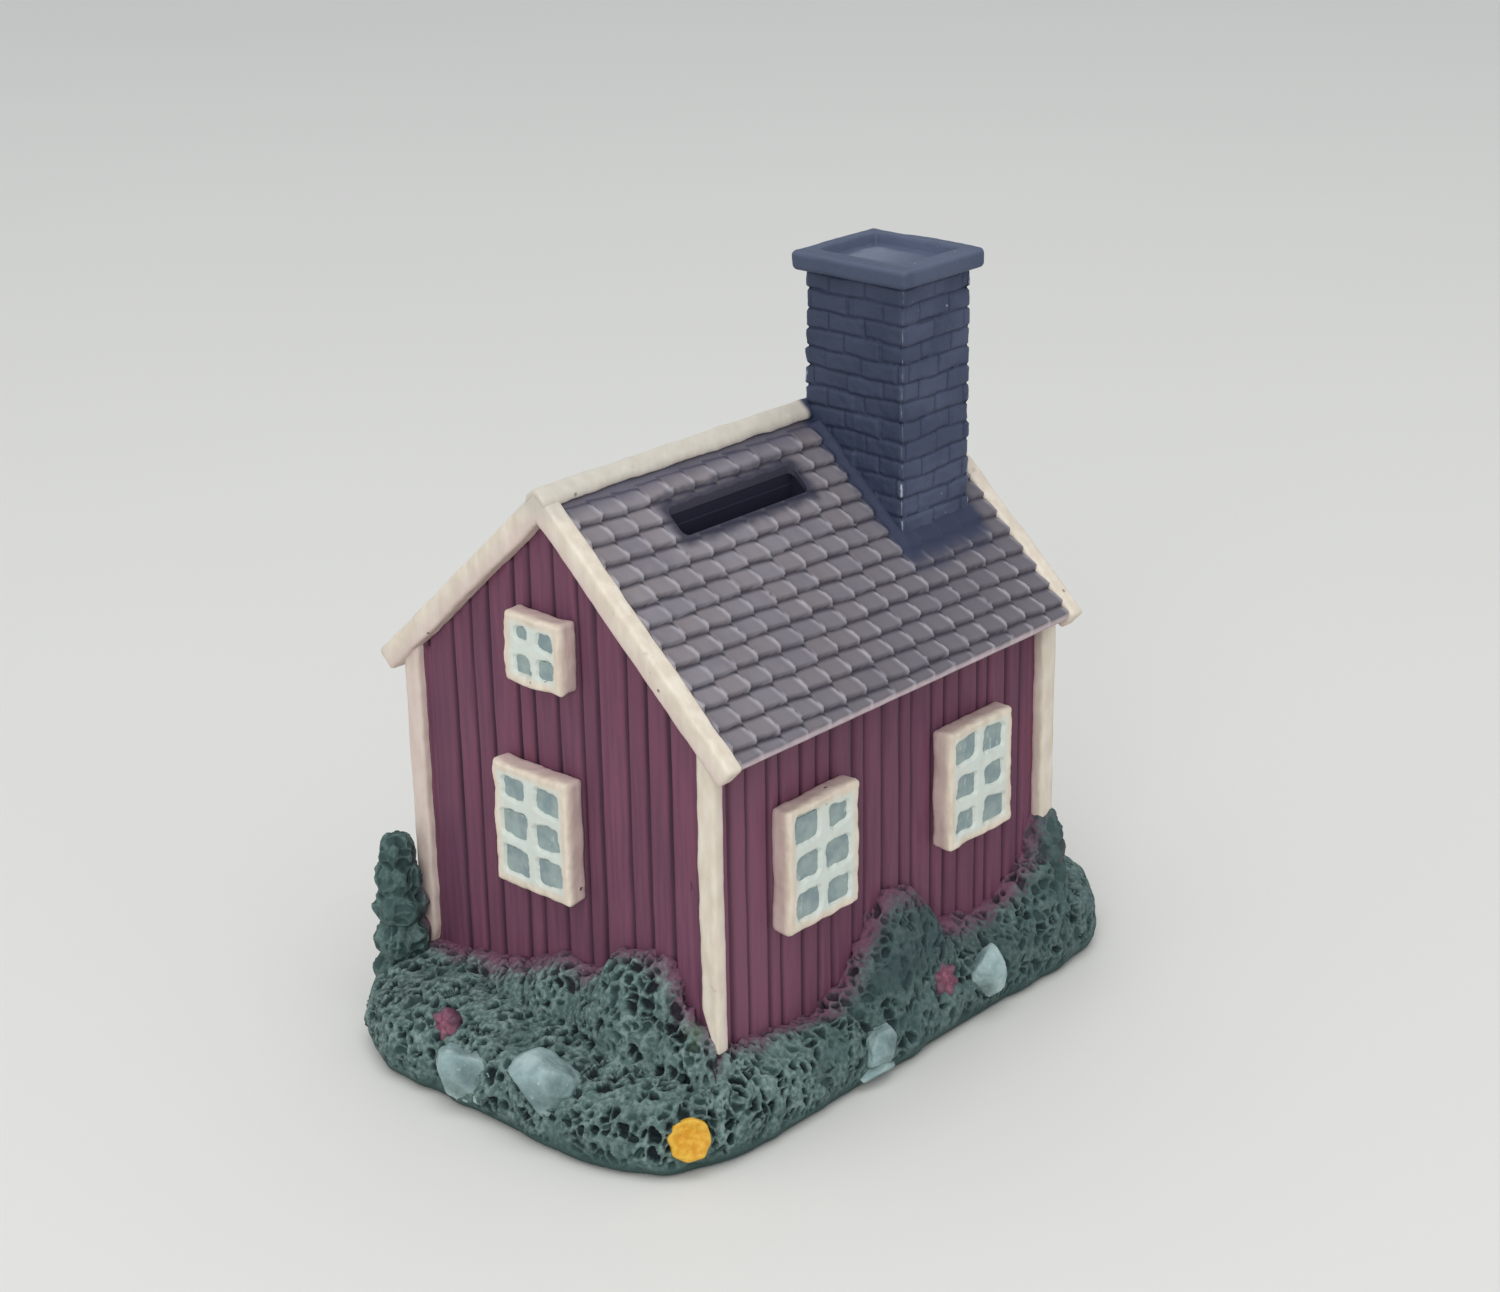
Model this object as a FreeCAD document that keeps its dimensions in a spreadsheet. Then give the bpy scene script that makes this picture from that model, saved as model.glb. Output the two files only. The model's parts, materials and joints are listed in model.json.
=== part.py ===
import FreeCAD, Part
import math
import os
import re

import Sketcher

# A hand-painted cottage money box: a hollow cast house on a planted bank, with a coin slot in the front
# roof slope and a soft stopper in the underside. Millimetres. +Z is up, the ridge runs along X, the
# front long side faces -Y, and the origin is at the middle of the underside.

SIZES = {
    # Floor plate and planted bank
    "base_length": 143.4,
    "base_width": 93.0,
    "base_corner": 25.0,
    "base_height": 8.0,
    "toe_inset": 1.4,
    "bank_height": 15.5,
    "bank_rise": 4.0,
    "bank_relief": 0.7,
    # Walls, boarding and corner posts
    "house_length": 96.8,
    "house_width": 74.0,
    "wall_thickness": 4.5,
    "gable_board": 5.65,
    "front_board": 4.7,
    "board_sway": 0.16,
    "sway_turn": 137.5,
    "groove_width": 1.3,
    "groove_depth": 0.75,
    "post_width": 4.2,
    "post_lap": 2.8,
    "post_proud": 2.4,
    # Roof
    "ridge_height": 115.2,
    "roof_pitch": 42.4,
    "eave_overhang": 6.8,
    "gable_overhang": 3.0,
    "deck_thickness": 2.2,
    "tile_bed": 0.3,
    "tile_butt": 1.0,
    "tile_roll": 0.55,
    "tile_courses": 13,
    "tile_columns": 16,
    "ridge_cover": 3.1,
    "ridge_thickness": 1.3,
    "barge_thickness": 3.8,
    "barge_proud": 0.4,
    "barge_tip": 0.5,
    # Coin slot, upright through the front slope
    "slot_length": 34.6,
    "slot_width": 5.0,
    "slot_shift": -9.7,
    "slot_from_ridge": 10.5,
    # Chimney
    "chimney_shift": 30.7,
    "chimney_setback": 0.6,
    "chimney_width": 20.6,
    "chimney_depth": 24.0,
    "chimney_top": 143.2,
    "brick_course": 3.75,
    "brick_length": 8.8,
    "mortar_width": 0.5,
    "mortar_depth": 0.4,
    "cap_height": 3.8,
    "cap_overhang": 2.0,
    "cap_bevel": 0.9,
    "cap_rim": 4.2,
    "cap_recess": 1.5,
    # Windows and door
    "window_width": 19.8,
    "window_height": 24.8,
    "attic_window_width": 14.8,
    "attic_window_height": 13.8,
    "window_proud": 4.5,
    "window_border": 2.3,
    "glazing_bar": 2.1,
    "frame_corner": 0.9,
    "pane_recess": 0.7,
    "pane_thickness": 0.8,
    "gable_sill": 38.0,
    "attic_sill": 79.7,
    "front_sill": 35.6,
    "gable_window_shift": 3.8,
    "attic_window_shift": 1.2,
    "left_window_shift": -22.1,
    "right_window_shift": 24.2,
    "rear_window_shift": 30.0,
    "door_width": 17.0,
    "door_height": 36.0,
    "door_border": 2.4,
    "door_proud": 3.0,
    "leaf_recess": 1.2,
    "leaf_board": 3.05,
    # Stopper and its seat
    "hole_radius": 15.0,
    "seat_radius": 19.0,
    "seat_depth": 3.6,
    "stopper_clearance": 0.08,
    "flange_clearance": 1.0,
    "flange_thickness": 1.8,
    "barrel_wall": 2.6,
    "barrel_rise": 2.5,
    "rib_height": 1.4,
    "rib_depth": 0.8,
    "grip_length": 16.0,
    "grip_width": 3.0,
    "grip_lift": 0.5,
}

doc = FreeCAD.newDocument("CottageMoneyBox")
sheet = doc.addObject("Spreadsheet::Sheet", "Sizes")
for row, (alias, number) in enumerate(SIZES.items(), start=1):
    sheet.set(f"A{row}", alias)
    sheet.set(f"B{row}", str(number))
    sheet.setAlias(f"B{row}", alias)
doc.recompute()


def formula(text):
    """An expression in which the name of a size stands for its cell in the sheet."""
    return re.sub(r"[a-z_]+", lambda word: f"Sizes.{word[0]}" if word[0] in SIZES else word[0], str(text))


def value(text):
    """What a formula comes to now, in millimetres."""
    return float(sheet.evalExpression(formula(text)))


def bind(target, prop, text):
    target.setExpression(prop, formula(text))


# Formulas that several pieces share
HALF_LENGTH = "(house_length / 2)"
HALF_WIDTH = "(house_width / 2)"
EAVE_RUN = "(house_width / 2 + eave_overhang)"
SLOPE_LENGTH = f"({EAVE_RUN} / cos(roof_pitch))"
ROOF_HALF_LENGTH = "(house_length / 2 + gable_overhang - barge_thickness)"
UNDER_APEX = "(ridge_height - deck_thickness / cos(roof_pitch))"
CHIMNEY_FRONT = "(chimney_setback + chimney_depth)"


def under_roof(run):
    """Height of the decks' underside at a distance from the ridge line."""
    return f"({UNDER_APEX} - ({run}) * tan(roof_pitch))"


def new_body(label):
    body = doc.addObject("PartDesign::Body", label)
    body.Label = label
    return body


def origin_feature(body, role):
    return next(item for item in body.Origin.OriginFeatures if item.Role == role)


def new_sketch(body, plane, offset="0"):
    """A sketch on one of the body's own planes, moved along the plane's normal."""
    sketch = body.newObject("Sketcher::SketchObject", f"{body.Label}_sketch")
    sketch.AttachmentSupport = [(origin_feature(body, plane), "")]
    sketch.MapMode = "FlatFace"
    bind(sketch, "AttachmentOffset.Base.z", offset)
    return sketch


def add_outline(sketch, corners):
    """Adds a closed straight-sided outline whose corners are pairs of formulas."""
    places = [FreeCAD.Vector(value(across), value(up), 0) for across, up in corners]
    count = len(places)
    first = sketch.GeometryCount
    for index in range(count):
        sketch.addGeometry(Part.LineSegment(places[index], places[(index + 1) % count]), False)
    joins = []
    for index in range(count):
        joins.append(Sketcher.Constraint("Coincident", first + index, 2, first + (index + 1) % count, 1))
    sketch.addConstraint(joins)
    for index, (across, up) in enumerate(corners):
        hold_point(sketch, first + index, 1, across, up)


def hold_point(sketch, geometry, point, across, up):
    """Ties one point of a sketch to a pair of formulas."""
    for kind, text in (("DistanceX", across), ("DistanceY", up)):
        held = sketch.addConstraint(Sketcher.Constraint(kind, -1, 1, geometry, point, value(text)))
        bind(sketch, f"Constraints[{held}]", text)


def add_rectangle(sketch, left, bottom, right, top):
    add_outline(sketch, [(left, bottom), (right, bottom), (right, top), (left, top)])


def add_rounded_rectangle(sketch, half_across, half_up, radius):
    """Adds four sides and four quarter-circle corners about the sketch's origin."""
    quarters = [(1, 1), (-1, 1), (-1, -1), (1, -1)]
    starts = []
    for turn, (side_x, side_y) in enumerate(quarters):
        middle_x = f"{side_x} * ({half_across} - {radius})"
        middle_y = f"{side_y} * ({half_up} - {radius})"
        middle = FreeCAD.Vector(value(middle_x), value(middle_y), 0)
        circle = Part.Circle(middle, FreeCAD.Vector(0, 0, 1), value(radius))
        arc = Part.ArcOfCircle(circle, turn * math.pi / 2, (turn + 1) * math.pi / 2)
        starts.append(sketch.addGeometry(arc, False))
    for turn, arc in enumerate(starts):
        following = starts[(turn + 1) % 4]
        begin = sketch.getPoint(arc, 2)
        end = sketch.getPoint(following, 1)
        side = sketch.addGeometry(Part.LineSegment(begin, end), False)
        sketch.addConstraint(Sketcher.Constraint("Tangent", arc, 2, side, 1))
        sketch.addConstraint(Sketcher.Constraint("Tangent", side, 2, following, 1))
    for turn, (side_x, side_y) in enumerate(quarters):
        middle_x = f"{side_x} * ({half_across} - {radius})"
        middle_y = f"{side_y} * ({half_up} - {radius})"
        hold_point(sketch, starts[turn], 3, middle_x, middle_y)
    held = sketch.addConstraint(Sketcher.Constraint("Radius", starts[0], value(radius)))
    bind(sketch, f"Constraints[{held}]", radius)


def add_circle(sketch, radius):
    circle = sketch.addGeometry(Part.Circle(FreeCAD.Vector(), FreeCAD.Vector(0, 0, 1), value(radius)), False)
    sketch.addConstraint(Sketcher.Constraint("Coincident", circle, 3, -1, 1))
    held = sketch.addConstraint(Sketcher.Constraint("Radius", circle, value(radius)))
    bind(sketch, f"Constraints[{held}]", radius)


def add_pad(body, sketch, length, both_ways=False, backwards=False):
    pad = body.newObject("PartDesign::Pad", f"{body.Label}_pad")
    pad.Profile = sketch
    pad.SideType = "Symmetric" if both_ways else "One side"
    pad.Reversed = backwards
    bind(pad, "Length", length)
    return pad


def add_pocket(body, sketch, depth=None, backwards=False):
    """Cuts a sketch to a depth, or right through the body both ways where no depth is given."""
    pocket = body.newObject("PartDesign::Pocket", f"{body.Label}_pocket")
    pocket.Profile = sketch
    pocket.Reversed = backwards
    if depth is None:
        pocket.Type = "ThroughAll"
        pocket.SideType = "Symmetric"
    else:
        bind(pocket, "Length", depth)
    return pocket


def repeat(body, feature, axis, spacing, copies, backwards=False):
    """Repeats a feature in a straight row along one of the body's axes."""
    row = body.newObject("PartDesign::LinearPattern", f"{body.Label}_row")
    row.Originals = [feature]
    row.Direction = (origin_feature(body, axis), [""])
    row.Mode = "Spacing"
    row.Reversed = backwards
    bind(row, "Offset", spacing)
    bind(row, "Occurrences", copies)
    body.Tip = row
    return row


def bevel_edges(body, base, size, wanted):
    """Takes off the edges of a feature that a test picks out."""
    doc.recompute()
    names = [f"Edge{number}" for number, edge in enumerate(base.Shape.Edges, start=1) if wanted(edge)]
    bevel = body.newObject("PartDesign::Chamfer", f"{body.Label}_bevel")
    bevel.Base = (base, names)
    bind(bevel, "Size", size)
    body.Tip = bevel


def fuse(name, solids):
    joined = doc.addObject("Part::MultiFuse", name)
    joined.Shapes = solids
    return joined


def cut(label, base, tool):
    """What is left of a solid once another has been taken from it."""
    result = doc.addObject("Part::Cut", label)
    result.Label = label
    result.Base = base
    result.Tool = tool
    result.Refine = True
    return result


def box(name, left, front, bottom, length, width, height):
    block = doc.addObject("Part::Box", name)
    for prop, text in (("Length", length), ("Width", width), ("Height", height)):
        bind(block, prop, text)
    for axis, text in (("x", left), ("y", front), ("z", bottom)):
        bind(block, f"Placement.Base.{axis}", text)
    return block


def base_plate():
    """Floor of the box: its side leans out from the table, and a stepped hole takes the stopper."""
    body = new_body("base_plate_blank")
    foot = new_sketch(body, "XY_Plane")
    add_rounded_rectangle(foot, "(base_length / 2 - toe_inset)", "(base_width / 2 - toe_inset)",
                          "(base_corner - toe_inset)")
    rim = new_sketch(body, "XY_Plane", "base_height")
    add_rounded_rectangle(rim, "(base_length / 2)", "(base_width / 2)", "base_corner")
    side = body.newObject("PartDesign::AdditiveLoft", "base_plate_side")
    side.Profile = foot
    side.Sections = [rim]
    side.Ruled = True
    hole = new_sketch(body, "XY_Plane")
    add_circle(hole, "hole_radius")
    add_pocket(body, hole)
    seat = new_sketch(body, "XY_Plane")
    add_circle(seat, "seat_radius")
    add_pocket(body, seat, "seat_depth", backwards=True)
    body.Label = "base_plate"
    return body


def flat_face(corners):
    return Part.Face(Part.makePolygon(corners + corners[:1]))


def flat_solid(label, faces):
    """A solid with flat faces that close on one another."""
    solid = Part.Solid(Part.Shell(faces))
    if solid.Volume < 0:
        solid.reverse()
    result = doc.addObject("Part::Feature", label)
    result.Label = label
    result.Shape = solid
    return result


def outline_points(half_across, half_up, radius):
    """Points round a rectangle with round corners, as many for any size, so that two outlines pair up."""
    corner_steps = 7
    side_steps = {0: 14, 1: 9, 2: 14, 3: 9}
    points = []
    for turn, (side_x, side_y) in enumerate([(1, 1), (-1, 1), (-1, -1), (1, -1)]):
        middle = FreeCAD.Vector(side_x * (half_across - radius), side_y * (half_up - radius), 0)
        for step in range(corner_steps + 1):
            angle = (turn + step / corner_steps) * math.pi / 2
            points.append(middle + radius * FreeCAD.Vector(math.cos(angle), math.sin(angle), 0))
        side_x, side_y = [(-1, 1), (-1, -1), (1, -1), (1, 1)][turn]
        begin = points[-1]
        middle = FreeCAD.Vector(side_x * (half_across - radius), side_y * (half_up - radius), 0)
        angle = (turn + 1) * math.pi / 2
        end = middle + radius * FreeCAD.Vector(math.cos(angle), math.sin(angle), 0)
        for step in range(1, side_steps[turn]):
            points.append(begin + (end - begin) * (step / side_steps[turn]))
    return points


def garden_bank(house):
    """Planted bank from the plate's rim up to the walls: a ring of lumpy facets, highest at the posts."""
    rim = outline_points(value("base_length / 2"), value("base_width / 2"), value("base_corner"))
    inside = value("wall_thickness") / 2
    wall = outline_points(value(HALF_LENGTH) - inside, value(HALF_WIDTH) - inside, inside)
    low = value("base_height")
    climb = value("bank_height") - low
    relief = value("bank_relief")
    slope = [(0.0, 0.0), (0.05, 0.4), (0.24, 0.7), (0.5, 0.9), (0.78, 1.0), (1.0, 1.0)]
    rows = []
    for row, (share, height) in enumerate(slope):
        ring = []
        for station, (outer, inner) in enumerate(zip(rim, wall)):
            near_post = max(0.0, abs(inner.x) / wall[0].x + abs(inner.y) / wall[0].y - 1.0)
            top = climb + value("bank_rise") * near_post ** 4 * share
            lump = relief * math.sin(2.4 * station + 1.9 * row) * (0.0 if row == 0 else 1.0)
            place = outer + (inner - outer) * share
            ring.append(FreeCAD.Vector(place.x, place.y, low + top * height + lump))
        rows.append(ring)
    rows.append([FreeCAD.Vector(place.x, place.y, low) for place in wall])
    faces = []
    count = len(rim)
    for row, (lower, upper) in enumerate(zip(rows, rows[1:])):
        for station in range(count):
            after = (station + 1) % count
            if (station + row) % 2:
                faces.append(flat_face([lower[station], lower[after], upper[after]]))
                faces.append(flat_face([lower[station], upper[after], upper[station]]))
            else:
                faces.append(flat_face([lower[station], lower[after], upper[station]]))
                faces.append(flat_face([lower[after], upper[after], upper[station]]))
    for station in range(count):
        after = (station + 1) % count
        faces.append(flat_face([rows[-1][station], rows[-1][after], rows[0][after], rows[0][station]]))
    return cut("garden_bank", flat_solid("garden_bank_blank", faces), house)


CORNERS = {"front_left": (-1, -1), "front_right": (1, -1), "rear_left": (-1, 1), "rear_right": (1, 1)}


def post_square(side_x, side_y):
    """Plan of a corner post before the house's corner is taken from it."""
    near_x = f"{side_x} * ({HALF_LENGTH} + post_proud - post_width)"
    far_x = f"{side_x} * ({HALF_LENGTH} + post_proud)"
    near_y = f"{side_y} * ({HALF_WIDTH} + post_proud - post_lap)"
    far_y = f"{side_y} * ({HALF_WIDTH} + post_proud)"
    return [(near_x, near_y), (far_x, near_y), (far_x, far_y), (near_x, far_y)]


def corner_post(name, side_x, side_y):
    """Angle-shaped corner board: it laps both walls, and its top follows the roof's underside."""
    body = new_body(f"corner_post_{name}")
    plan = new_sketch(body, "XY_Plane", "base_height")
    near, side_a, far, side_b = post_square(side_x, side_y)
    corner = (f"{side_x} * {HALF_LENGTH}", f"{side_y} * {HALF_WIDTH}")
    add_outline(plan, [(corner[0], near[1]), side_a, far, side_b, (near[0], corner[1]), corner])
    add_pad(body, plan, f"{UNDER_APEX} - base_height")
    trim_under_roof(body, side_y)
    return body


def trim_under_roof(body, side_y):
    """Takes away what stands above the roof's underside on one slope."""
    above = new_sketch(body, "YZ_Plane")
    edge = f"({HALF_WIDTH} + 2 * post_proud)"
    add_outline(above, [("0", UNDER_APEX), (f"{side_y} * {edge}", under_roof(edge)),
                        (f"{side_y} * {edge}", f"{UNDER_APEX} + 1"), ("0", f"{UNDER_APEX} + 1")])
    add_pocket(body, above)


def board_grooves(body, board, span, corners):
    """Upright grooves between boards of uneven width, centred on the wall."""
    grooves = new_sketch(body, "XY_Plane")
    half_count = int(value(f"floor({span} / 2 / {board})"))
    for number in range(-half_count, half_count + 1):
        add_outline(grooves, corners(f"({board} * ({number} + board_sway * sin({number} * sway_turn)))"))
    add_pocket(body, grooves)


def long_wall(label, side_y):
    """Boarded wall under one eave, between the two gable walls."""
    body = new_body(label)
    section = new_sketch(body, "YZ_Plane")
    outer = f"({side_y} * {HALF_WIDTH})"
    inner = f"({side_y} * ({HALF_WIDTH} - wall_thickness))"
    add_outline(section, [(outer, "base_height"), (inner, "base_height"),
                          (inner, under_roof(f"{HALF_WIDTH} - wall_thickness")),
                          (outer, under_roof(HALF_WIDTH))])
    inside_length = "(house_length - 2 * wall_thickness)"
    add_pad(body, section, inside_length, both_ways=True)

    def groove_at(middle):
        floor_of_groove = f"({side_y} * ({HALF_WIDTH} - groove_depth))"
        return [(f"{middle} - groove_width / 2", outer), (f"{middle} + groove_width / 2", outer),
                (middle, floor_of_groove)]

    board_grooves(body, "front_board", inside_length, groove_at)
    return body


def gable_wall(label, side_x):
    """Boarded end wall, up to the ridge, lapping the ends of the long walls."""
    body = new_body(label)
    inner = f"{HALF_LENGTH} - wall_thickness" if side_x > 0 else f"-{HALF_LENGTH}"
    face = new_sketch(body, "YZ_Plane", inner)
    add_outline(face, [(f"-{HALF_WIDTH}", "base_height"), (HALF_WIDTH, "base_height"),
                       (HALF_WIDTH, under_roof(HALF_WIDTH)), ("0", UNDER_APEX),
                       (f"-{HALF_WIDTH}", under_roof(HALF_WIDTH))])
    add_pad(body, face, "wall_thickness")

    def groove_at(middle):
        outer = f"{side_x} * {HALF_LENGTH}"
        return [(outer, f"{middle} - groove_width / 2"), (outer, f"{middle} + groove_width / 2"),
                (f"{side_x} * ({HALF_LENGTH} - groove_depth)", middle)]

    board_grooves(body, "gable_board", "(house_width - 2 * groove_width)", groove_at)
    return body


def tilt_to_slope(body, side_y):
    """Turns a body so that its own XY plane is the top of one roof deck, with the ridge at its origin."""
    body.Placement = FreeCAD.Placement(FreeCAD.Vector(), FreeCAD.Rotation(FreeCAD.Vector(-side_y, 0, 0), 1))
    bind(body, "Placement.Rotation.Angle", "roof_pitch")
    bind(body, "Placement.Base.z", "ridge_height")


def roof_deck(label, side_y, opening):
    """Plain deck of one slope, mitred at the ridge and cut square at the eave."""
    body = new_body(f"{label}_blank")
    tilt_to_slope(body, side_y)
    section = new_sketch(body, "YZ_Plane")
    add_outline(section, [("0", "0"), (f"{side_y} * {SLOPE_LENGTH}", "0"),
                          (f"{side_y} * {SLOPE_LENGTH}", "-deck_thickness"),
                          (f"{side_y} * deck_thickness * tan(roof_pitch)", "-deck_thickness")])
    add_pad(body, section, f"2 * {ROOF_HALF_LENGTH}", both_ways=True)
    return cut(label, body, opening)


def roof_tiles(label, side_y, opening):
    """Tiled skin of one slope: overlapping courses, each tile rising to a rolled edge."""
    body = new_body(f"{label}_blank")
    tilt_to_slope(body, side_y)
    eave = f"{side_y} * {SLOPE_LENGTH}"
    bed = new_sketch(body, "YZ_Plane")
    add_outline(bed, [("0", "0"), (eave, "0"), (eave, "tile_bed"),
                      (f"{-side_y} * tile_bed * tan(roof_pitch)", "tile_bed")])
    add_pad(body, bed, f"2 * {ROOF_HALF_LENGTH}", both_ways=True)
    course = f"(({SLOPE_LENGTH} - ridge_cover) / tile_courses)"
    wedge = new_sketch(body, "YZ_Plane")
    add_outline(wedge, [(eave, "tile_bed"), (eave, "tile_butt"),
                        (f"{side_y} * ({SLOPE_LENGTH} - {course})", "tile_bed")])
    lowest = add_pad(body, wedge, f"2 * {ROOF_HALF_LENGTH}", both_ways=True)
    repeat(body, lowest, "Y_Axis", course, "tile_courses", backwards=side_y > 0)
    tile = f"(2 * {ROOF_HALF_LENGTH} / tile_columns)"
    low_edge = f"-{ROOF_HALF_LENGTH}"
    high_edge = f"({low_edge} + {tile})"
    roll = new_sketch(body, "XZ_Plane")
    add_outline(roll, [(low_edge, "tile_butt - tile_roll"), (high_edge, "tile_butt"),
                       (high_edge, "2 * tile_butt"), (low_edge, "2 * tile_butt")])
    repeat(body, add_pocket(body, roll), "X_Axis", tile, "tile_columns")
    return cut(label, body, opening)


def ridge_cap(opening):
    """Folded cap over the top of both tiled slopes, notched round the chimney."""
    body = new_body("ridge_cap_blank")
    section = new_sketch(body, "YZ_Plane")

    def on_slope(side_y, lift):
        run = f"{side_y} * (ridge_cover * cos(roof_pitch) + ({lift}) * sin(roof_pitch))"
        return (run, f"ridge_height - ridge_cover * sin(roof_pitch) + ({lift}) * cos(roof_pitch)")

    top = "(tile_bed + ridge_thickness)"
    add_outline(section, [("0", f"ridge_height + {top} / cos(roof_pitch)"), on_slope(1, top),
                          on_slope(1, "tile_bed"), ("0", "ridge_height + tile_bed / cos(roof_pitch)"),
                          on_slope(-1, "tile_bed"), on_slope(-1, top)])
    add_pad(body, section, f"2 * {ROOF_HALF_LENGTH}", both_ways=True)
    return cut("ridge_cap", body, opening)


def barge_board(name, side_x, side_y):
    """Board that closes the end of one slope, mitred at the ridge and proud of the tiles."""
    body = new_body(f"barge_board_{name}")
    tilt_to_slope(body, side_y)
    inner = ROOF_HALF_LENGTH if side_x > 0 else f"-{ROOF_HALF_LENGTH} - barge_thickness"
    side = new_sketch(body, "YZ_Plane", inner)
    top = "(tile_butt + barge_proud)"
    tip = f"{side_y} * ({SLOPE_LENGTH} + barge_tip)"
    add_outline(side, [(f"{-side_y} * {top} * tan(roof_pitch)", top), (tip, top), (tip, "-deck_thickness"),
                       (f"{side_y} * deck_thickness * tan(roof_pitch)", "-deck_thickness")])
    add_pad(body, side, "barge_thickness")
    return body


def chimney_stack():
    """Brick stack through the front slope: raised courses on a core, with staggered upright joints."""
    body = new_body("chimney_stack")
    left = "(chimney_shift - chimney_width / 2)"
    right = "(chimney_shift + chimney_width / 2)"
    front = f"(-{CHIMNEY_FRONT})"
    back = "(-chimney_setback)"
    foot = under_roof(CHIMNEY_FRONT)
    core = new_sketch(body, "XY_Plane", foot)
    add_rectangle(core, f"{left} + mortar_depth", f"{front} + mortar_depth",
                  f"{right} - mortar_depth", f"{back} - mortar_depth")
    add_pad(body, core, f"chimney_top - {foot}")
    courses = f"ceil((chimney_top - {foot}) / brick_course)"
    top_course = new_sketch(body, "XY_Plane", "chimney_top")
    add_rectangle(top_course, left, front, right, back)
    bricks = add_pad(body, top_course, "brick_course - mortar_width", backwards=True)
    repeat(body, bricks, "Z_Axis", "brick_course", courses, backwards=True)
    for parity in (0, 1):
        joints = new_sketch(body, "XY_Plane", f"chimney_top - {parity} * brick_course")
        across = int((value("chimney_width") - 1) / value("brick_length") + 0.5 * parity)
        for number in range(across):
            middle = f"({left} + brick_length * {number + 1 - 0.5 * parity})"
            joint = (f"{middle} - mortar_width / 2", f"{middle} + mortar_width / 2")
            for low, high in ((front, f"{front} + mortar_depth"), (f"{back} - mortar_depth", back)):
                add_rectangle(joints, joint[0], low, joint[1], high)
        along = int((value("chimney_depth") - 1) / value("brick_length") + 0.5 - 0.5 * parity)
        for number in range(along):
            middle = f"({front} + brick_length * {number + 0.5 + 0.5 * parity})"
            joint = (f"{middle} - mortar_width / 2", f"{middle} + mortar_width / 2")
            for low, high in ((left, f"{left} + mortar_depth"), (f"{right} - mortar_depth", right)):
                add_rectangle(joints, low, joint[0], high, joint[1])
        slots = add_pocket(body, joints, "brick_course")
        repeat(body, slots, "Z_Axis", "2 * brick_course", f"ceil({courses} / 2)", backwards=True)
    below = new_sketch(body, "YZ_Plane")
    deep = f"({under_roof(CHIMNEY_FRONT)} - 2 * brick_course - {CHIMNEY_FRONT})"
    beyond = f"(2 * {CHIMNEY_FRONT})"
    add_outline(below, [("0", UNDER_APEX), (f"-{beyond}", under_roof(beyond)), (f"-{beyond}", deep),
                        ("0", deep)])
    add_pocket(body, below)
    return body


def chimney_cap():
    """Slab on the stack, its edges taken off above the bed, with a sunk top."""
    body = new_body("chimney_cap")
    bind(body, "Placement.Base.x", "chimney_shift")
    bind(body, "Placement.Base.y", "-(chimney_setback + chimney_depth / 2)")
    bind(body, "Placement.Base.z", "chimney_top")
    half_width = "(chimney_width / 2 + cap_overhang)"
    half_depth = "(chimney_depth / 2 + cap_overhang)"
    plan = new_sketch(body, "XY_Plane")
    add_rectangle(plan, f"-{half_width}", f"-{half_depth}", half_width, half_depth)
    slab = add_pad(body, plan, "cap_height")
    top = value("cap_height")
    bevel_edges(body, slab, "cap_bevel", lambda edge: edge.BoundBox.ZMax > top - 0.001)
    sunk = new_sketch(body, "XY_Plane", "cap_height")
    add_rectangle(sunk, f"cap_rim - {half_width}", f"cap_rim - {half_depth}",
                  f"{half_width} - cap_rim", f"{half_depth} - cap_rim")
    add_pocket(body, sunk, "cap_recess")
    return body


WALL_TURNS = {"front": 0, "right": 90, "rear": 180, "left": -90}


def set_on_wall(body, wall, shift, sill):
    """Stands a body on a wall: its own X runs to the viewer's right, Y up and Z outward."""
    upright = FreeCAD.Rotation(FreeCAD.Vector(1, 0, 0), 90)
    turned = FreeCAD.Rotation(FreeCAD.Vector(0, 0, 1), WALL_TURNS[wall])
    body.Placement = FreeCAD.Placement(FreeCAD.Vector(), turned * upright)
    places = {
        "front": (f"({shift})", f"-{HALF_WIDTH}"),
        "rear": (f"-({shift})", HALF_WIDTH),
        "left": (f"-{HALF_LENGTH}", f"-({shift})"),
        "right": (HALF_LENGTH, f"({shift})"),
    }
    bind(body, "Placement.Base.x", places[wall][0])
    bind(body, "Placement.Base.y", places[wall][1])
    bind(body, "Placement.Base.z", sill)


def pane_openings(sketch, width, height, columns, rows):
    """Adds the outlines of a window's panes, between its border and its glazing bars."""
    pane_width = f"(({width} - 2 * window_border - {columns - 1} * glazing_bar) / {columns})"
    pane_height = f"(({height} - 2 * window_border - {rows - 1} * glazing_bar) / {rows})"
    for column in range(columns):
        left = f"(window_border - {width} / 2 + {column} * ({pane_width} + glazing_bar))"
        for row in range(rows):
            bottom = f"(window_border + {row} * ({pane_height} + glazing_bar))"
            add_rectangle(sketch, left, bottom, f"{left} + {pane_width}", f"{bottom} + {pane_height}")


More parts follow.
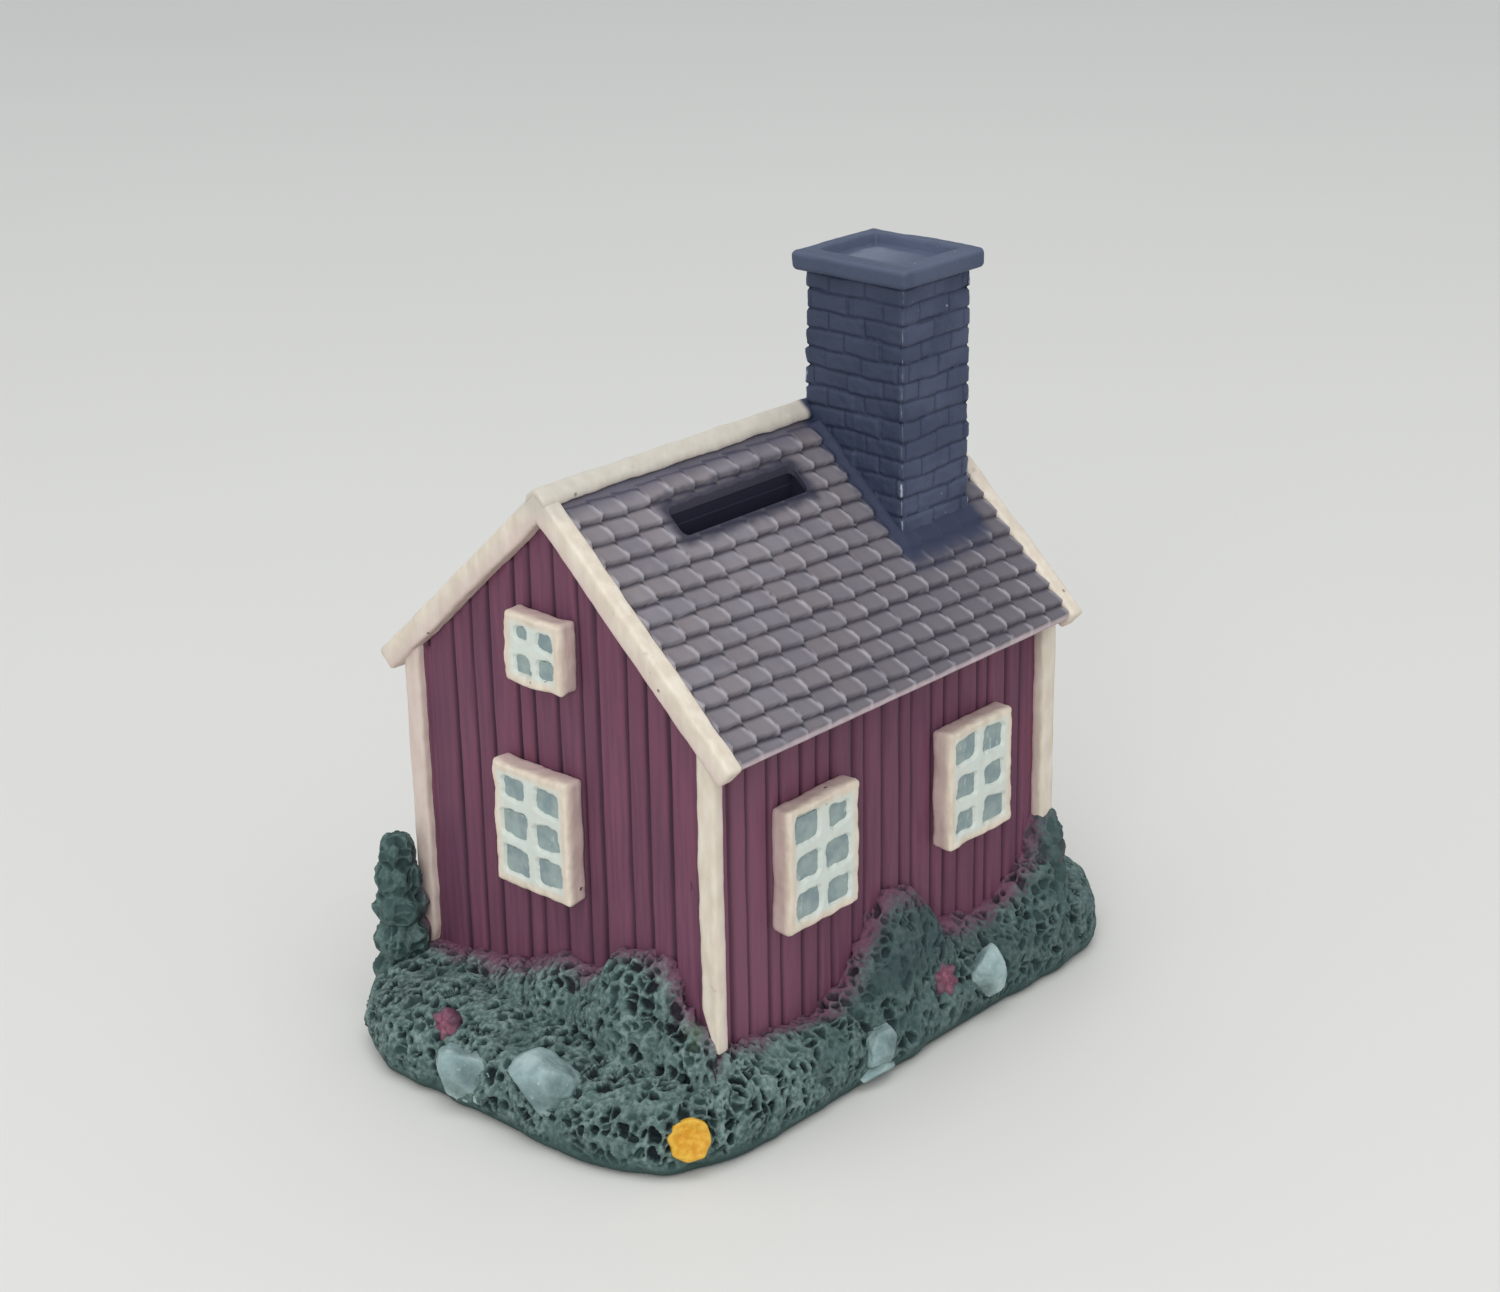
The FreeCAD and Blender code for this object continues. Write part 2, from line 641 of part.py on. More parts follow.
def window(name, wall, shift, sill, width, height, rows):
    """Boxed-out frame with two columns of sunk panes, and the panes as a group of their own."""
    frame = new_body(f"window_frame_{name}")
    set_on_wall(frame, wall, shift, sill)
    outer = new_sketch(frame, "XY_Plane")
    add_rectangle(outer, f"-{width} / 2", "0", f"{width} / 2", height)
    block = add_pad(frame, outer, "window_proud")
    proud = value("window_proud")
    bevel_edges(frame, block, "frame_corner", lambda edge: abs(edge.BoundBox.ZLength - proud) < 0.001)
    sunk = new_sketch(frame, "XY_Plane", "window_proud")
    pane_openings(sunk, width, height, 2, rows)
    add_pocket(frame, sunk, "pane_recess + pane_thickness")
    panes = new_body(f"window_panes_{name}")
    panes.AllowCompound = True
    set_on_wall(panes, wall, shift, sill)
    glass = new_sketch(panes, "XY_Plane", "window_proud - pane_recess - pane_thickness")
    pane_openings(glass, width, height, 2, rows)
    add_pad(panes, glass, "pane_thickness")
    return [frame, panes]


def rear_door():
    """Boarded door in a plain frame, standing on the bank in the middle of the rear wall."""
    frame = new_body("door_frame")
    step = "bank_height + bank_relief"
    set_on_wall(frame, "rear", "0", step)
    half = "(door_width / 2)"
    opening = f"({half} - door_border)"
    head = "(door_height - door_border)"
    outer = new_sketch(frame, "XY_Plane")
    add_outline(outer, [(f"-{half}", "0"), (f"-{opening}", "0"), (f"-{opening}", head), (opening, head),
                        (opening, "0"), (half, "0"), (half, "door_height"), (f"-{half}", "door_height")])
    add_pad(frame, outer, "door_proud")
    leaf = new_body("door_leaf")
    set_on_wall(leaf, "rear", "0", step)
    panel = new_sketch(leaf, "XY_Plane")
    add_rectangle(panel, f"-{opening}", "0", opening, head)
    add_pad(leaf, panel, "door_proud - leaf_recess")

    def groove_at(middle):
        face = "(door_proud - leaf_recess)"
        return [(f"{middle} - groove_width / 2", face), (f"{middle} + groove_width / 2", face),
                (middle, f"{face} - groove_depth")]

    span = "(door_width - 2 * door_border - groove_width)"
    groove = new_sketch(leaf, "XZ_Plane")
    add_outline(groove, groove_at(f"-leaf_board * floor({span} / 2 / leaf_board)"))
    repeat(leaf, add_pocket(leaf, groove), "X_Axis", "leaf_board", f"2 * floor({span} / 2 / leaf_board) + 1")
    return [frame, leaf]


def stopper():
    """Soft cup-shaped plug: a flange in the stepped seat, two ribs in the hole and a bar to pull it by."""
    body = new_body("stopper")
    flange_radius = "(seat_radius - flange_clearance)"
    barrel = "(hole_radius - stopper_clearance)"
    waist = f"({barrel} - rib_depth)"
    under = "(seat_depth - flange_thickness)"
    top = "(base_height + barrel_rise)"
    rib_gap = "((base_height - seat_depth - 2 * rib_height) / 3)"
    profile = new_sketch(body, "XZ_Plane")
    first_rib = f"(seat_depth + {rib_gap})"
    second_rib = f"({first_rib} + rib_height + {rib_gap})"
    add_outline(profile, [
        ("0", under), (flange_radius, under), (flange_radius, "seat_depth"), (waist, "seat_depth"),
        (waist, first_rib), (barrel, f"{first_rib} + rib_height / 2"), (waist, f"{first_rib} + rib_height"),
        (waist, second_rib), (barrel, f"{second_rib} + rib_height / 2"),
        (waist, f"{second_rib} + rib_height"), (waist, top),
        (f"{barrel} - barrel_wall", top), (f"{barrel} - barrel_wall", "seat_depth + flange_thickness / 2"),
        ("0", "seat_depth + flange_thickness / 2"),
    ])
    turned = body.newObject("PartDesign::Revolution", "stopper_turned")
    turned.Profile = profile
    turned.ReferenceAxis = (profile, ["V_Axis"])
    turned.Angle = 360
    grip = new_sketch(body, "XY_Plane", "grip_lift")
    add_rectangle(grip, "-grip_length / 2", "-grip_width / 2", "grip_length / 2", "grip_width / 2")
    add_pad(body, grip, f"{under} - grip_lift")
    return body


def lumpy_form(label, levels, sides, lobes, lobe_depth, phase, reach_x=1.0, reach_y=1.0):
    """A flat-faced mass about its own Z axis: rings of one lobed outline, each given as (height, size)."""
    rings = []
    for height, size in levels:
        ring = []
        for index in range(sides):
            angle = 2 * math.pi * index / sides
            reach = size * (1 + lobe_depth * math.sin(lobes * angle + phase))
            across = reach * reach_x * math.cos(angle)
            along = reach * reach_y * math.sin(angle)
            ring.append(FreeCAD.Vector(across, along, height))
        rings.append(ring)
    faces = [flat_face(rings[0]), flat_face(rings[-1])]
    for lower, upper in zip(rings, rings[1:]):
        for index in range(sides):
            after = (index + 1) % sides
            faces.append(flat_face([lower[index], lower[after], upper[after], upper[index]]))
    return flat_solid(label, faces)


def bush(label, place, reach, foot, top, tiers):
    """Bush standing on the bank against a wall: one spreading mound, or tiers that narrow upward."""
    mound = [(0.0, 1.0), (0.35, 0.96), (0.62, 0.8), (0.84, 0.54), (1.0, 0.2)]
    tier_skirt = [(0.0, 0.92), (0.3, 1.0), (0.62, 0.86), (0.93, 0.66)]
    taper = 0.62
    levels = []
    step = (top - foot) / tiers
    for tier in range(tiers):
        shrink = 1 - taper * tier / tiers
        rings = mound if tier == tiers - 1 else tier_skirt
        levels += [(foot + step * (tier + height), shrink * share) for height, share in rings]
    mass = lumpy_form(f"{label}_blank", levels, 12, 3, 0.07, len(label), *reach)
    mass.Placement = FreeCAD.Placement(FreeCAD.Vector(place[0], place[1], 0), FreeCAD.Rotation())
    return cut(label, mass, planted_ground)


def stone(label, place, radius, height):
    """Field stone set in the side of the bank, flattened on top."""
    levels = [(-height, 0.6), (-0.3 * height, 1.0), (0.5 * height, 0.9), (height, 0.55)]
    mass = lumpy_form(f"{label}_blank", levels, 8, 2, 0.12, len(label), radius, radius)
    mass.Placement = FreeCAD.Placement(FreeCAD.Vector(*place), FreeCAD.Rotation())
    return cut(label, mass, ground)


def flower(label, place, heading, radius):
    """Round flower head of five petals on the side of the bank, facing outward and a little up."""
    levels = [(-0.6 * radius, 0.8), (0.1 * radius, 1.0), (0.4 * radius, 0.7)]
    mass = lumpy_form(f"{label}_blank", levels, 15, 5, 0.1, 0.0, radius, radius)
    outward = FreeCAD.Vector(math.cos(heading), math.sin(heading), 0.25)
    facing = FreeCAD.Rotation(FreeCAD.Vector(0, 0, 1), outward)
    mass.Placement = FreeCAD.Placement(FreeCAD.Vector(*place), facing)
    return cut(label, mass, planted_ground)


slot_opening = box("slot_opening", "slot_shift - slot_length / 2", "-(slot_from_ridge + slot_width / 2)", "0",
                   "slot_length", "slot_width", "2 * ridge_height")
chimney_opening = box("chimney_opening", "chimney_shift - chimney_width / 2", f"-{CHIMNEY_FRONT}", "0",
                      "chimney_width", "chimney_depth", "2 * ridge_height")

roof_openings = fuse("roof_openings", [slot_opening, chimney_opening])

nodes = []
plate = base_plate()
posts = [corner_post(name, side_x, side_y) for name, (side_x, side_y) in CORNERS.items()]
house_block = box("house_block", f"-{HALF_LENGTH}", f"-{HALF_WIDTH}", "0",
                  "house_length", "house_width", UNDER_APEX)
house = fuse("house", [house_block] + posts)
bank = garden_bank(house)
nodes += [plate, bank] + posts
nodes += [long_wall("wall_front", -1), long_wall("wall_rear", 1)]
nodes += [gable_wall("gable_wall_left", -1), gable_wall("gable_wall_right", 1)]
nodes += [roof_deck("roof_deck_front", -1, roof_openings)]
nodes += [roof_deck("roof_deck_rear", 1, chimney_opening)]
nodes += [roof_tiles("roof_tiles_front", -1, roof_openings)]
nodes += [roof_tiles("roof_tiles_rear", 1, chimney_opening)]
nodes += [ridge_cap(chimney_opening)]
nodes += [barge_board(name, side_x, side_y) for name, (side_x, side_y) in CORNERS.items()]
nodes += [chimney_stack(), chimney_cap()]

main_window = ("window_width", "window_height", 3)
attic_window = ("attic_window_width", "attic_window_height", 2)
nodes += window("gable_left", "left", "-gable_window_shift", "gable_sill", *main_window)
nodes += window("attic_left", "left", "-attic_window_shift", "attic_sill", *attic_window)
nodes += window("front_left", "front", "left_window_shift", "front_sill", *main_window)
nodes += window("front_right", "front", "right_window_shift", "front_sill", *main_window)
nodes += window("gable_right", "right", "gable_window_shift", "gable_sill", *main_window)
nodes += window("attic_right", "right", "attic_window_shift", "attic_sill", *attic_window)
nodes += window("rear_left", "rear", "-rear_window_shift", "front_sill", *main_window)
nodes += window("rear_right", "rear", "rear_window_shift", "front_sill", *main_window)
nodes += rear_door()
nodes += [stopper()]

ground = fuse("ground", [plate, bank, house])

# Stones lie along the rim of the bank, half sunk in its side.
rim_x = value("base_length / 2")
rim_y = value("base_width / 2")
rim_z = value("base_height")
stones = [
    stone("stone_gable_large", (4.9 - rim_x, -14.2, rim_z + 2.0), 6.6, 5.6),
    stone("stone_gable_small", (2.4 - rim_x, 5.4, rim_z - 1.0), 5.0, 5.2),
    stone("stone_gable_far", (rim_x - 3.6, -6.0, rim_z + 0.6), 5.2, 4.8),
    stone("stone_front_left", (-12.6, 2.6 - rim_y, rim_z - 1.6), 4.6, 5.0),
    stone("stone_front_right", (20.8, 2.3 - rim_y, rim_z + 0.8), 4.2, 5.0),
    stone("stone_rear", (-34.0, rim_y - 2.4, rim_z - 0.6), 4.4, 5.0),
]
nodes += stones
planted_ground = fuse("planted_ground", [ground] + stones)

# Bushes stand against the walls and corner posts: middle in plan, reach along X and Y, top, tiers.
wall_x = value(HALF_LENGTH)
wall_y = value(HALF_WIDTH)
bushes = [
    ("bush_cone_left", (-wall_x - 6.6, wall_y + 2.6), (6.2, 6.2), 39.6, 4),
    ("bush_gable_left", (-wall_x - 1.0, -22.4), (10.5, 11.0), 34.5, 1),
    ("bush_gable_middle", (-wall_x - 1.0, 1.0), (9.5, 10.6), 25.5, 1),
    ("bush_front", (0.5, -wall_y), (14.0, 7.0), 33.0, 1),
    ("bush_corner_right", (wall_x + 1.2, 0.3 - wall_y), (6.8, 6.4), 36.5, 1),
    ("bush_rear_left", (-16.0, wall_y), (7.0, 6.4), 25.0, 1),
    ("bush_rear_right", (17.0, wall_y), (7.6, 6.4), 28.0, 1),
    ("bush_gable_right", (wall_x + 1.0, 14.0), (9.5, 13.0), 30.0, 1),
]
nodes += [bush(label, place, reach, rim_z, top, tiers) for label, place, reach, top, tiers in bushes]

# Flowers sit on the side of the bank.
corner_heading = math.radians(236)
corner_reach = value("base_corner")
flower_corner = (corner_reach * math.cos(corner_heading) - rim_x + corner_reach,
                 corner_reach * math.sin(corner_heading) - rim_y + corner_reach, rim_z - 0.7)
nodes += [
    flower("flower_yellow", flower_corner, corner_heading, 4.1),
    flower("flower_gable", (3.8 - rim_x, 13.7, rim_z + 3.7), math.pi, 3.0),
    flower("flower_front", (8.6, 0.9 - rim_y, rim_z + 3.7), -math.pi / 2, 3.2),
]

doc.recompute()
for item in doc.Objects:
    if "Invalid" in item.State or "Error" in item.State:
        raise RuntimeError(f"{item.Label} did not build: {item.State}")
for node in nodes:
    if node.Shape.isNull() or not node.Shape.isValid():
        raise RuntimeError(f"{node.Label} has no sound shape")

os.makedirs("parts", exist_ok=True)
for node in nodes:
    node.Shape.exportStep(f"parts/{node.Label}.step")
    print(f"{node.Label}: {len(node.Shape.Solids)} solids, {node.Shape.Volume:.1f} mm3")
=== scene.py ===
import json
import math
import random
from functools import partialmethod

import bmesh
import bpy
from mathutils import Matrix, Vector, noise


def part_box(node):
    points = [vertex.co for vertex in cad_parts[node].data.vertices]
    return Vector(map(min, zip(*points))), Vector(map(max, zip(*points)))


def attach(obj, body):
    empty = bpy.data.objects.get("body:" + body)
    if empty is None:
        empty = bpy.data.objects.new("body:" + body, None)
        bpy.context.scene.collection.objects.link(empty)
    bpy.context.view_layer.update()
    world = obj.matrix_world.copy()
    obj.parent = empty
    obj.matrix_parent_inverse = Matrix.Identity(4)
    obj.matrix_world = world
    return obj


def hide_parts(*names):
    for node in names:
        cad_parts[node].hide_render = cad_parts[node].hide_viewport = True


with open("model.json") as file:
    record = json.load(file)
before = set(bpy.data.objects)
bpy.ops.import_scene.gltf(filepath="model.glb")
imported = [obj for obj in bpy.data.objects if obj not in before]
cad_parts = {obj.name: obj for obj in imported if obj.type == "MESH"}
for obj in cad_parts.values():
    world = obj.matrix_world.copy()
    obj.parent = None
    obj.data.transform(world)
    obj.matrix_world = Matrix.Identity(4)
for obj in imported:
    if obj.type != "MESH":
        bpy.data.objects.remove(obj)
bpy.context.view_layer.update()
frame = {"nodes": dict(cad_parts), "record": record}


# Floor plate
# A flat slab of cast resin with a stepped hole for the stopper. It is cast in one with the house, its
# underside is left unpainted and rubbed flat, and the planted bank covers its edge.

class Value:
    """A socket of a node tree. Arithmetic on it adds Math nodes to that tree."""

    def __init__(self, nodes, socket):
        self.nodes = nodes
        self.socket = socket

    def math(self, operation, *others):
        return self.nodes.add("ShaderNodeMath", {"operation": operation}, [self, *others])["Value"]

    def __rsub__(self, other):
        return self.nodes.add("ShaderNodeMath", {"operation": "SUBTRACT"}, [other, self])["Value"]

    def __rtruediv__(self, other):
        return self.nodes.add("ShaderNodeMath", {"operation": "DIVIDE"}, [other, self])["Value"]

    __add__ = __radd__ = partialmethod(math, "ADD")
    __sub__ = partialmethod(math, "SUBTRACT")
    __mul__ = __rmul__ = partialmethod(math, "MULTIPLY")
    __truediv__ = partialmethod(math, "DIVIDE")
    __neg__ = partialmethod(math, "MULTIPLY", -1.0)
    __abs__ = partialmethod(math, "ABSOLUTE")
    floor = partialmethod(math, "FLOOR")
    fraction = partialmethod(math, "FRACT")
    least = partialmethod(math, "MINIMUM")
    most = partialmethod(math, "MAXIMUM")
    above = partialmethod(math, "GREATER_THAN")

    def rise(self, low, high):
        """Goes smoothly from 0 at low to 1 at high."""
        sockets = {"Value": self, "From Min": low, "From Max": high}
        return self.nodes.add("ShaderNodeMapRange", {"interpolation_type": "SMOOTHSTEP"}, sockets)["Result"]


class Nodes:
    """Writes one node tree."""

    def __init__(self, tree):
        self.tree = tree

    def add(self, kind, settings=None, inputs=()):
        """Makes a node: its settings first, then the values or links of its sockets, by name or in order."""
        node = self.tree.nodes.new(kind)
        for name, setting in (settings or {}).items():
            setattr(node, name, setting)
        sockets = [socket for socket in node.inputs if socket.enabled]
        if isinstance(inputs, dict):
            by_name = {socket.name: socket for socket in reversed(sockets)}
            pairs = [(by_name[name], given) for name, given in inputs.items()]
        else:
            pairs = zip(sockets, inputs)
        for socket, given in pairs:
            if isinstance(given, Value):
                self.tree.links.new(given.socket, socket)
            else:
                socket.default_value = given
        return {socket.name: Value(self, socket) for socket in node.outputs if socket.enabled}

    def vector(self, operation, *parts):
        return self.add("ShaderNodeVectorMath", {"operation": operation}, parts)["Vector"]

    def join(self, x, y, z):
        return self.add("ShaderNodeCombineXYZ", None, [x, y, z])["Vector"]

    def split(self, vector):
        parts = self.add("ShaderNodeSeparateXYZ", None, [vector])
        return parts["X"], parts["Y"], parts["Z"]

    def mottle(self, place, size, detail=2.0, stretch=(1, 1, 1)):
        """Soft noise from 0 to 1 whose lumps are about so many millimetres across."""
        scaled = self.vector("MULTIPLY", place, [1 / (size * part) for part in stretch])
        sockets = {"Vector": scaled, "Scale": 1.0, "Detail": detail}
        noise_node = self.add("ShaderNodeTexNoise", {"noise_dimensions": "3D"}, sockets)
        return noise_node.get("Fac") or noise_node["Factor"]

    def ripple(self, place, size, detail=2.0, stretch=(1, 1, 1)):
        """The same noise, from -0.5 to 0.5."""
        return self.mottle(place, size, detail, stretch) - 0.5

    def cells(self, place, size, feature="F1"):
        """Scattered cells of so many millimetres: the distance to a middle or an edge, in cell sizes."""
        scaled = self.vector("MULTIPLY", place, [1 / size] * 3)
        return self.add("ShaderNodeTexVoronoi", {"feature": feature}, {"Vector": scaled, "Scale": 1.0})

    def chance(self, x, y, z):
        """A random number from 0 to 1 for each whole place."""
        place = self.join(x, y, z)
        return self.add("ShaderNodeTexWhiteNoise", {"noise_dimensions": "3D"}, {"Vector": place})["Value"]


def colour(red, green, blue):
    """A paint colour as it is read off a screen, 0 to 255, made linear."""
    parts = [part / 255 for part in (red, green, blue)]
    return tuple(p / 12.92 if p <= 0.04045 else ((p + 0.055) / 1.055) ** 2.4 for p in parts) + (1.0,)


class Paint(Nodes):
    """Writes one painted finish. Places are in millimetres from the object's origin."""

    def __init__(self, name):
        self.material = bpy.data.materials.new(name)
        self.material.use_nodes = True
        super().__init__(self.material.node_tree)
        self.tree.nodes.clear()
        object_place = self.add("ShaderNodeTexCoord")["Object"]
        self.place = self.vector("MULTIPLY", object_place, (1000, 1000, 1000))

    def attribute(self, name):
        return self.add("ShaderNodeAttribute", {"attribute_name": name})["Fac"]

    def blotches(self, size, detail=2.0, stretch=(1, 1, 1)):
        return self.mottle(self.place, size, detail, stretch)

    def layers(self, first, *others):
        """A first colour, and others brushed over it in turn, each with the mask that says where."""
        coat = colour(*first)
        for mask, over in others:
            sockets = {"Factor": mask, "A": coat, "B": over if isinstance(over, Value) else colour(*over)}
            coat = self.add("ShaderNodeMix", {"data_type": "RGBA"}, sockets)["Result"]
        return coat

    def coat(self, base, roughness, height, depth_mm, specular=0.3):
        """Closes the finish: its colour, its roughness, and a height that is so many millimetres deep."""
        bump = {"Strength": 1.0, "Distance": depth_mm / 1000, "Height": height}
        normal = self.add("ShaderNodeBump", None, bump)["Normal"]
        sockets = {"Base Color": base, "Roughness": roughness, "Normal": normal,
                   "Specular IOR Level": specular}
        shader = self.add("ShaderNodeBsdfPrincipled", None, sockets)["BSDF"]
        self.add("ShaderNodeOutputMaterial", None, {"Surface": shader})
        return self.material


def coated(mesh, paint):
    """Gives a mesh one finish all over."""
    mesh.materials.clear()
    mesh.materials.append(paint)
    return mesh


def dress(node, paint):
    """Gives a CAD node that stays in view a finish."""
    coated(frame["nodes"][node].data, paint)


RIM_PAINT_FROM = 24.0
underside = Paint("unpainted_resin")
rubbed = underside.blotches(6.0, 4.0)
scratches = underside.blotches(1.2, 3.0, (9, 1, 1))
plate_x, plate_y, plate_z = underside.split(underside.place)
off_hole = (plate_x * plate_x + plate_y * plate_y).math("SQRT").rise(RIM_PAINT_FROM, RIM_PAINT_FROM + 2.0)
resin_colour = underside.layers(
    (176, 164, 148),
    (rubbed.rise(0.35, 0.7), (196, 186, 170)),
    (plate_z.rise(0.01, 0.06) * off_hole, (34, 48, 50)))
dress("base_plate", underside.coat(resin_colour, 0.62 + 0.2 * rubbed, scratches + rubbed, 0.12))


# Boarded walls
# The relief of upright boards on the four sides, cast hollow. The boards are uneven in width and level, their
# joints are soft grooves, and a matt burgundy coat is brushed on downwards, darker where it fills them.

def box_mm(node):
    """Lowest and highest corner of a CAD node, in millimetres."""
    low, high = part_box(node)
    return low * 1000, high * 1000


def linked(name, mesh):
    """A new object of the scene."""
    made = bpy.data.objects.new(name, mesh)
    bpy.context.scene.collection.objects.link(made)
    return made


def plain_mesh(holder):
    """An object's mesh with its modifiers worked in."""
    return bpy.data.meshes.new_from_object(holder.evaluated_get(bpy.context.evaluated_depsgraph_get()))


# How many points a block has along its three sides, unless a cast says otherwise.
COUNTS = {"Columns": 10, "Rows": 10, "Layers": 2}


class Form(Nodes):
    """Writes one geometry tree in millimetres, with named sizes as its inputs."""

    def __init__(self, name, sizes, material):
        self.name = name
        self.material = material
        super().__init__(bpy.data.node_groups.new(name, "GeometryNodeTree"))
        face = self.tree.interface
        face.new_socket("Geometry", in_out="OUTPUT", socket_type="NodeSocketGeometry")
        face.new_socket("Geometry", in_out="INPUT", socket_type="NodeSocketGeometry")
        self.identifiers = {}
        for size, number in sizes.items():
            kind = "NodeSocketInt" if isinstance(number, int) else "NodeSocketFloat"
            socket = face.new_socket(size, in_out="INPUT", socket_type=kind)
            socket.default_value = number
            self.identifiers[size] = socket.identifier
        self.given = self.add("NodeGroupInput")
        self.sizes = [self.given[size] for size in sizes]

    def block(self, length, width, height):
        """A closed block of fine quads about the origin, and the place of a point of it."""
        size = self.join(length, width, height)
        counts = [self.given[name] for name in COUNTS]
        mesh = self.add("GeometryNodeMeshCube", None, [size, *counts])["Mesh"]
        return mesh, self.split(self.add("GeometryNodeInputPosition")["Position"])

    def mark(self, mesh, kind="FLOAT", **numbers):
        """Keeps numbers on the points of a mesh, for its finish to read."""
        for name, number in numbers.items():
            sockets = {"Geometry": mesh, "Name": name, "Value": number}
            settings = {"data_type": kind, "domain": "POINT"}
            mesh = self.add("GeometryNodeStoreNamedAttribute", settings, sockets)["Geometry"]
        return mesh

    def close(self, mesh, place):
        """Ends the tree: the points' new places, smooth shading, real geometry and the finish."""
        moved = self.add("GeometryNodeSetPosition", None, {"Geometry": mesh, "Position": place})["Geometry"]
        smooth = list(self.add("GeometryNodeSetShadeSmooth", None, [moved]).values())[0]
        real = self.add("GeometryNodeRealizeInstances", None, [smooth])["Geometry"]
        painted = self.add("GeometryNodeSetMaterial", None, {"Geometry": real, "Material": self.material})
        self.add("NodeGroupOutput", None, [painted["Geometry"]])

    def cast(self, sizes, source=None):
        """A plain mesh made by the tree at these sizes, from nothing or from a given mesh."""
        holder = linked(self.name, source or bpy.data.meshes.new(self.name))
        modifier = holder.modifiers.new(self.name, "NODES")
        modifier.node_group = self.tree
        for size, number in sizes.items():
            modifier[self.identifiers[size]] = number
        mesh = plain_mesh(holder)
        bpy.data.objects.remove(holder)
        return mesh


def grid(step, **spans):
    """How many points a block has along each span, at about so many millimetres apart."""
    return {name: max(2, round(span / step) + 1) for name, span in spans.items()}


def set_piece(name, mesh, replaced, body="house"):
    """Makes a mesh a piece of the part, which stands for CAD nodes."""
    piece = linked(name, mesh)
    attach(piece, body)
    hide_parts(*replaced)
    return piece


def fit(name, mesh, replaced, matrix=Matrix(), body="house"):
    """Sets a mesh in millimetres in its place, as a piece of the part."""
    mesh.transform(Matrix.Scale(0.001, 4) @ matrix)
    return set_piece(name, mesh, replaced, body)


gable_low, gable_high = box_mm("gable_wall_left")
HALF_LENGTH = -gable_low.x
HALF_WIDTH = gable_high.y
WALL_FOOT = gable_low.z
UNDER_APEX = gable_high.z
WALL_THICKNESS = gable_high.x - gable_low.x
ROOF_PITCH = math.radians(42.4)
UNDER_EAVE = UNDER_APEX - HALF_WIDTH * math.tan(ROOF_PITCH)

siding = Paint("burgundy_boards")
streaks = siding.blotches(1.1, 3.0, (1, 1, 16))
patches = siding.blotches(17.0, 3.0)
violet = siding.blotches(9.0, 3.0, (1, 1, 4))
wall_x, wall_y, _ = siding.split(siding.place)
on_front = (-wall_y).rise(HALF_WIDTH - 2.0, HALF_WIDTH - 1.5)
lit_end = (1 - wall_x.rise(-46.0, -10.0)) * on_front
filled = siding.attribute("groove").rise(0.25, 0.95) * (0.5 + 0.75 * patches) * (1 - 0.3 * on_front)
siding_colour = siding.layers(
    (104, 62, 84),
    (streaks.rise(0.25, 0.75), (124, 76, 97)),
    (patches.rise(0.45, 0.75) * 0.55, (126, 72, 90)),
    (violet.rise(0.5, 0.75) * 0.4, (84, 54, 80)),
    (siding.attribute("board_tone") * 0.45, (92, 56, 76)),
    (lit_end * 0.5, (138, 90, 110)),
    (filled, (56, 32, 48)))
siding_paint = siding.coat(siding_colour, 0.5 + 0.25 * streaks, streaks + 0.6 * patches, 0.16)

boards = Form("upright_boards", {"Length": 90.0, "Height": 70.0, "Peak": 0.0, "Thickness": 4.0, "Board": 5.0,
                                 "Joints": 6.0, "Seed": 1.0, **COUNTS}, siding_paint)
BOARD_SWAY = 0.16
SWAY_TURN = math.radians(137.5)
length, height, peak, thickness, board, joints, seed, *_ = boards.sizes
wall_mesh, (x, y, z) = boards.block(length, height, thickness)
up = (y / height + 0.5) * (height + peak * (1 - 2 * abs(x) / length))
seeded = boards.join(x, up, seed * 31)
wandering = x + 0.7 * boards.ripple(seeded, 13.0, 2.0, (1, 2.4, 1))
nearest = (wandering / board + 0.5).floor()


def joint_distance(step):
    """Signed distance to the joint so many steps along from the nearest one."""
    number = (nearest + step).least(joints).most(-joints)
    return wandering - board * (number + BOARD_SWAY * (number * SWAY_TURN).math("SINE"))


edge_mm = abs(joint_distance(-1)).least(abs(joint_distance(0))).least(abs(joint_distance(1)))
board_id = nearest + joint_distance(0).above(0.0)
unevenness = boards.mottle(seeded, 7.0)
groove_shape = 1 - edge_mm.rise(0.05, 1.0)
board_chance = boards.chance(board_id, seed, 0.0)
level = 0.25 * (board_chance - 0.5)
relief = level - groove_shape * (0.6 + 0.6 * unevenness) + 0.3 * (unevenness - 0.5)
out = z.above(0) * (relief + thickness) - thickness
wall_mesh = boards.mark(wall_mesh, groove=groove_shape * z.above(0), board_tone=board_chance)
boards.close(wall_mesh, boards.join(x, up, out))


def on_wall(wall, shift=0.0, up=0.0):
    """Turns a flat piece, with X to the viewer's right, Y up and Z outward, on to one of the four walls."""
    turns = {"front": 0, "right": 90, "rear": 180, "left": -90}
    reach = HALF_WIDTH if wall in ("front", "rear") else HALF_LENGTH
    upright = Matrix.Rotation(math.radians(90), 4, "X")
    turned = Matrix.Rotation(math.radians(turns[wall]), 4, "Z")
    return turned @ Matrix.Translation((shift, -reach, up)) @ upright


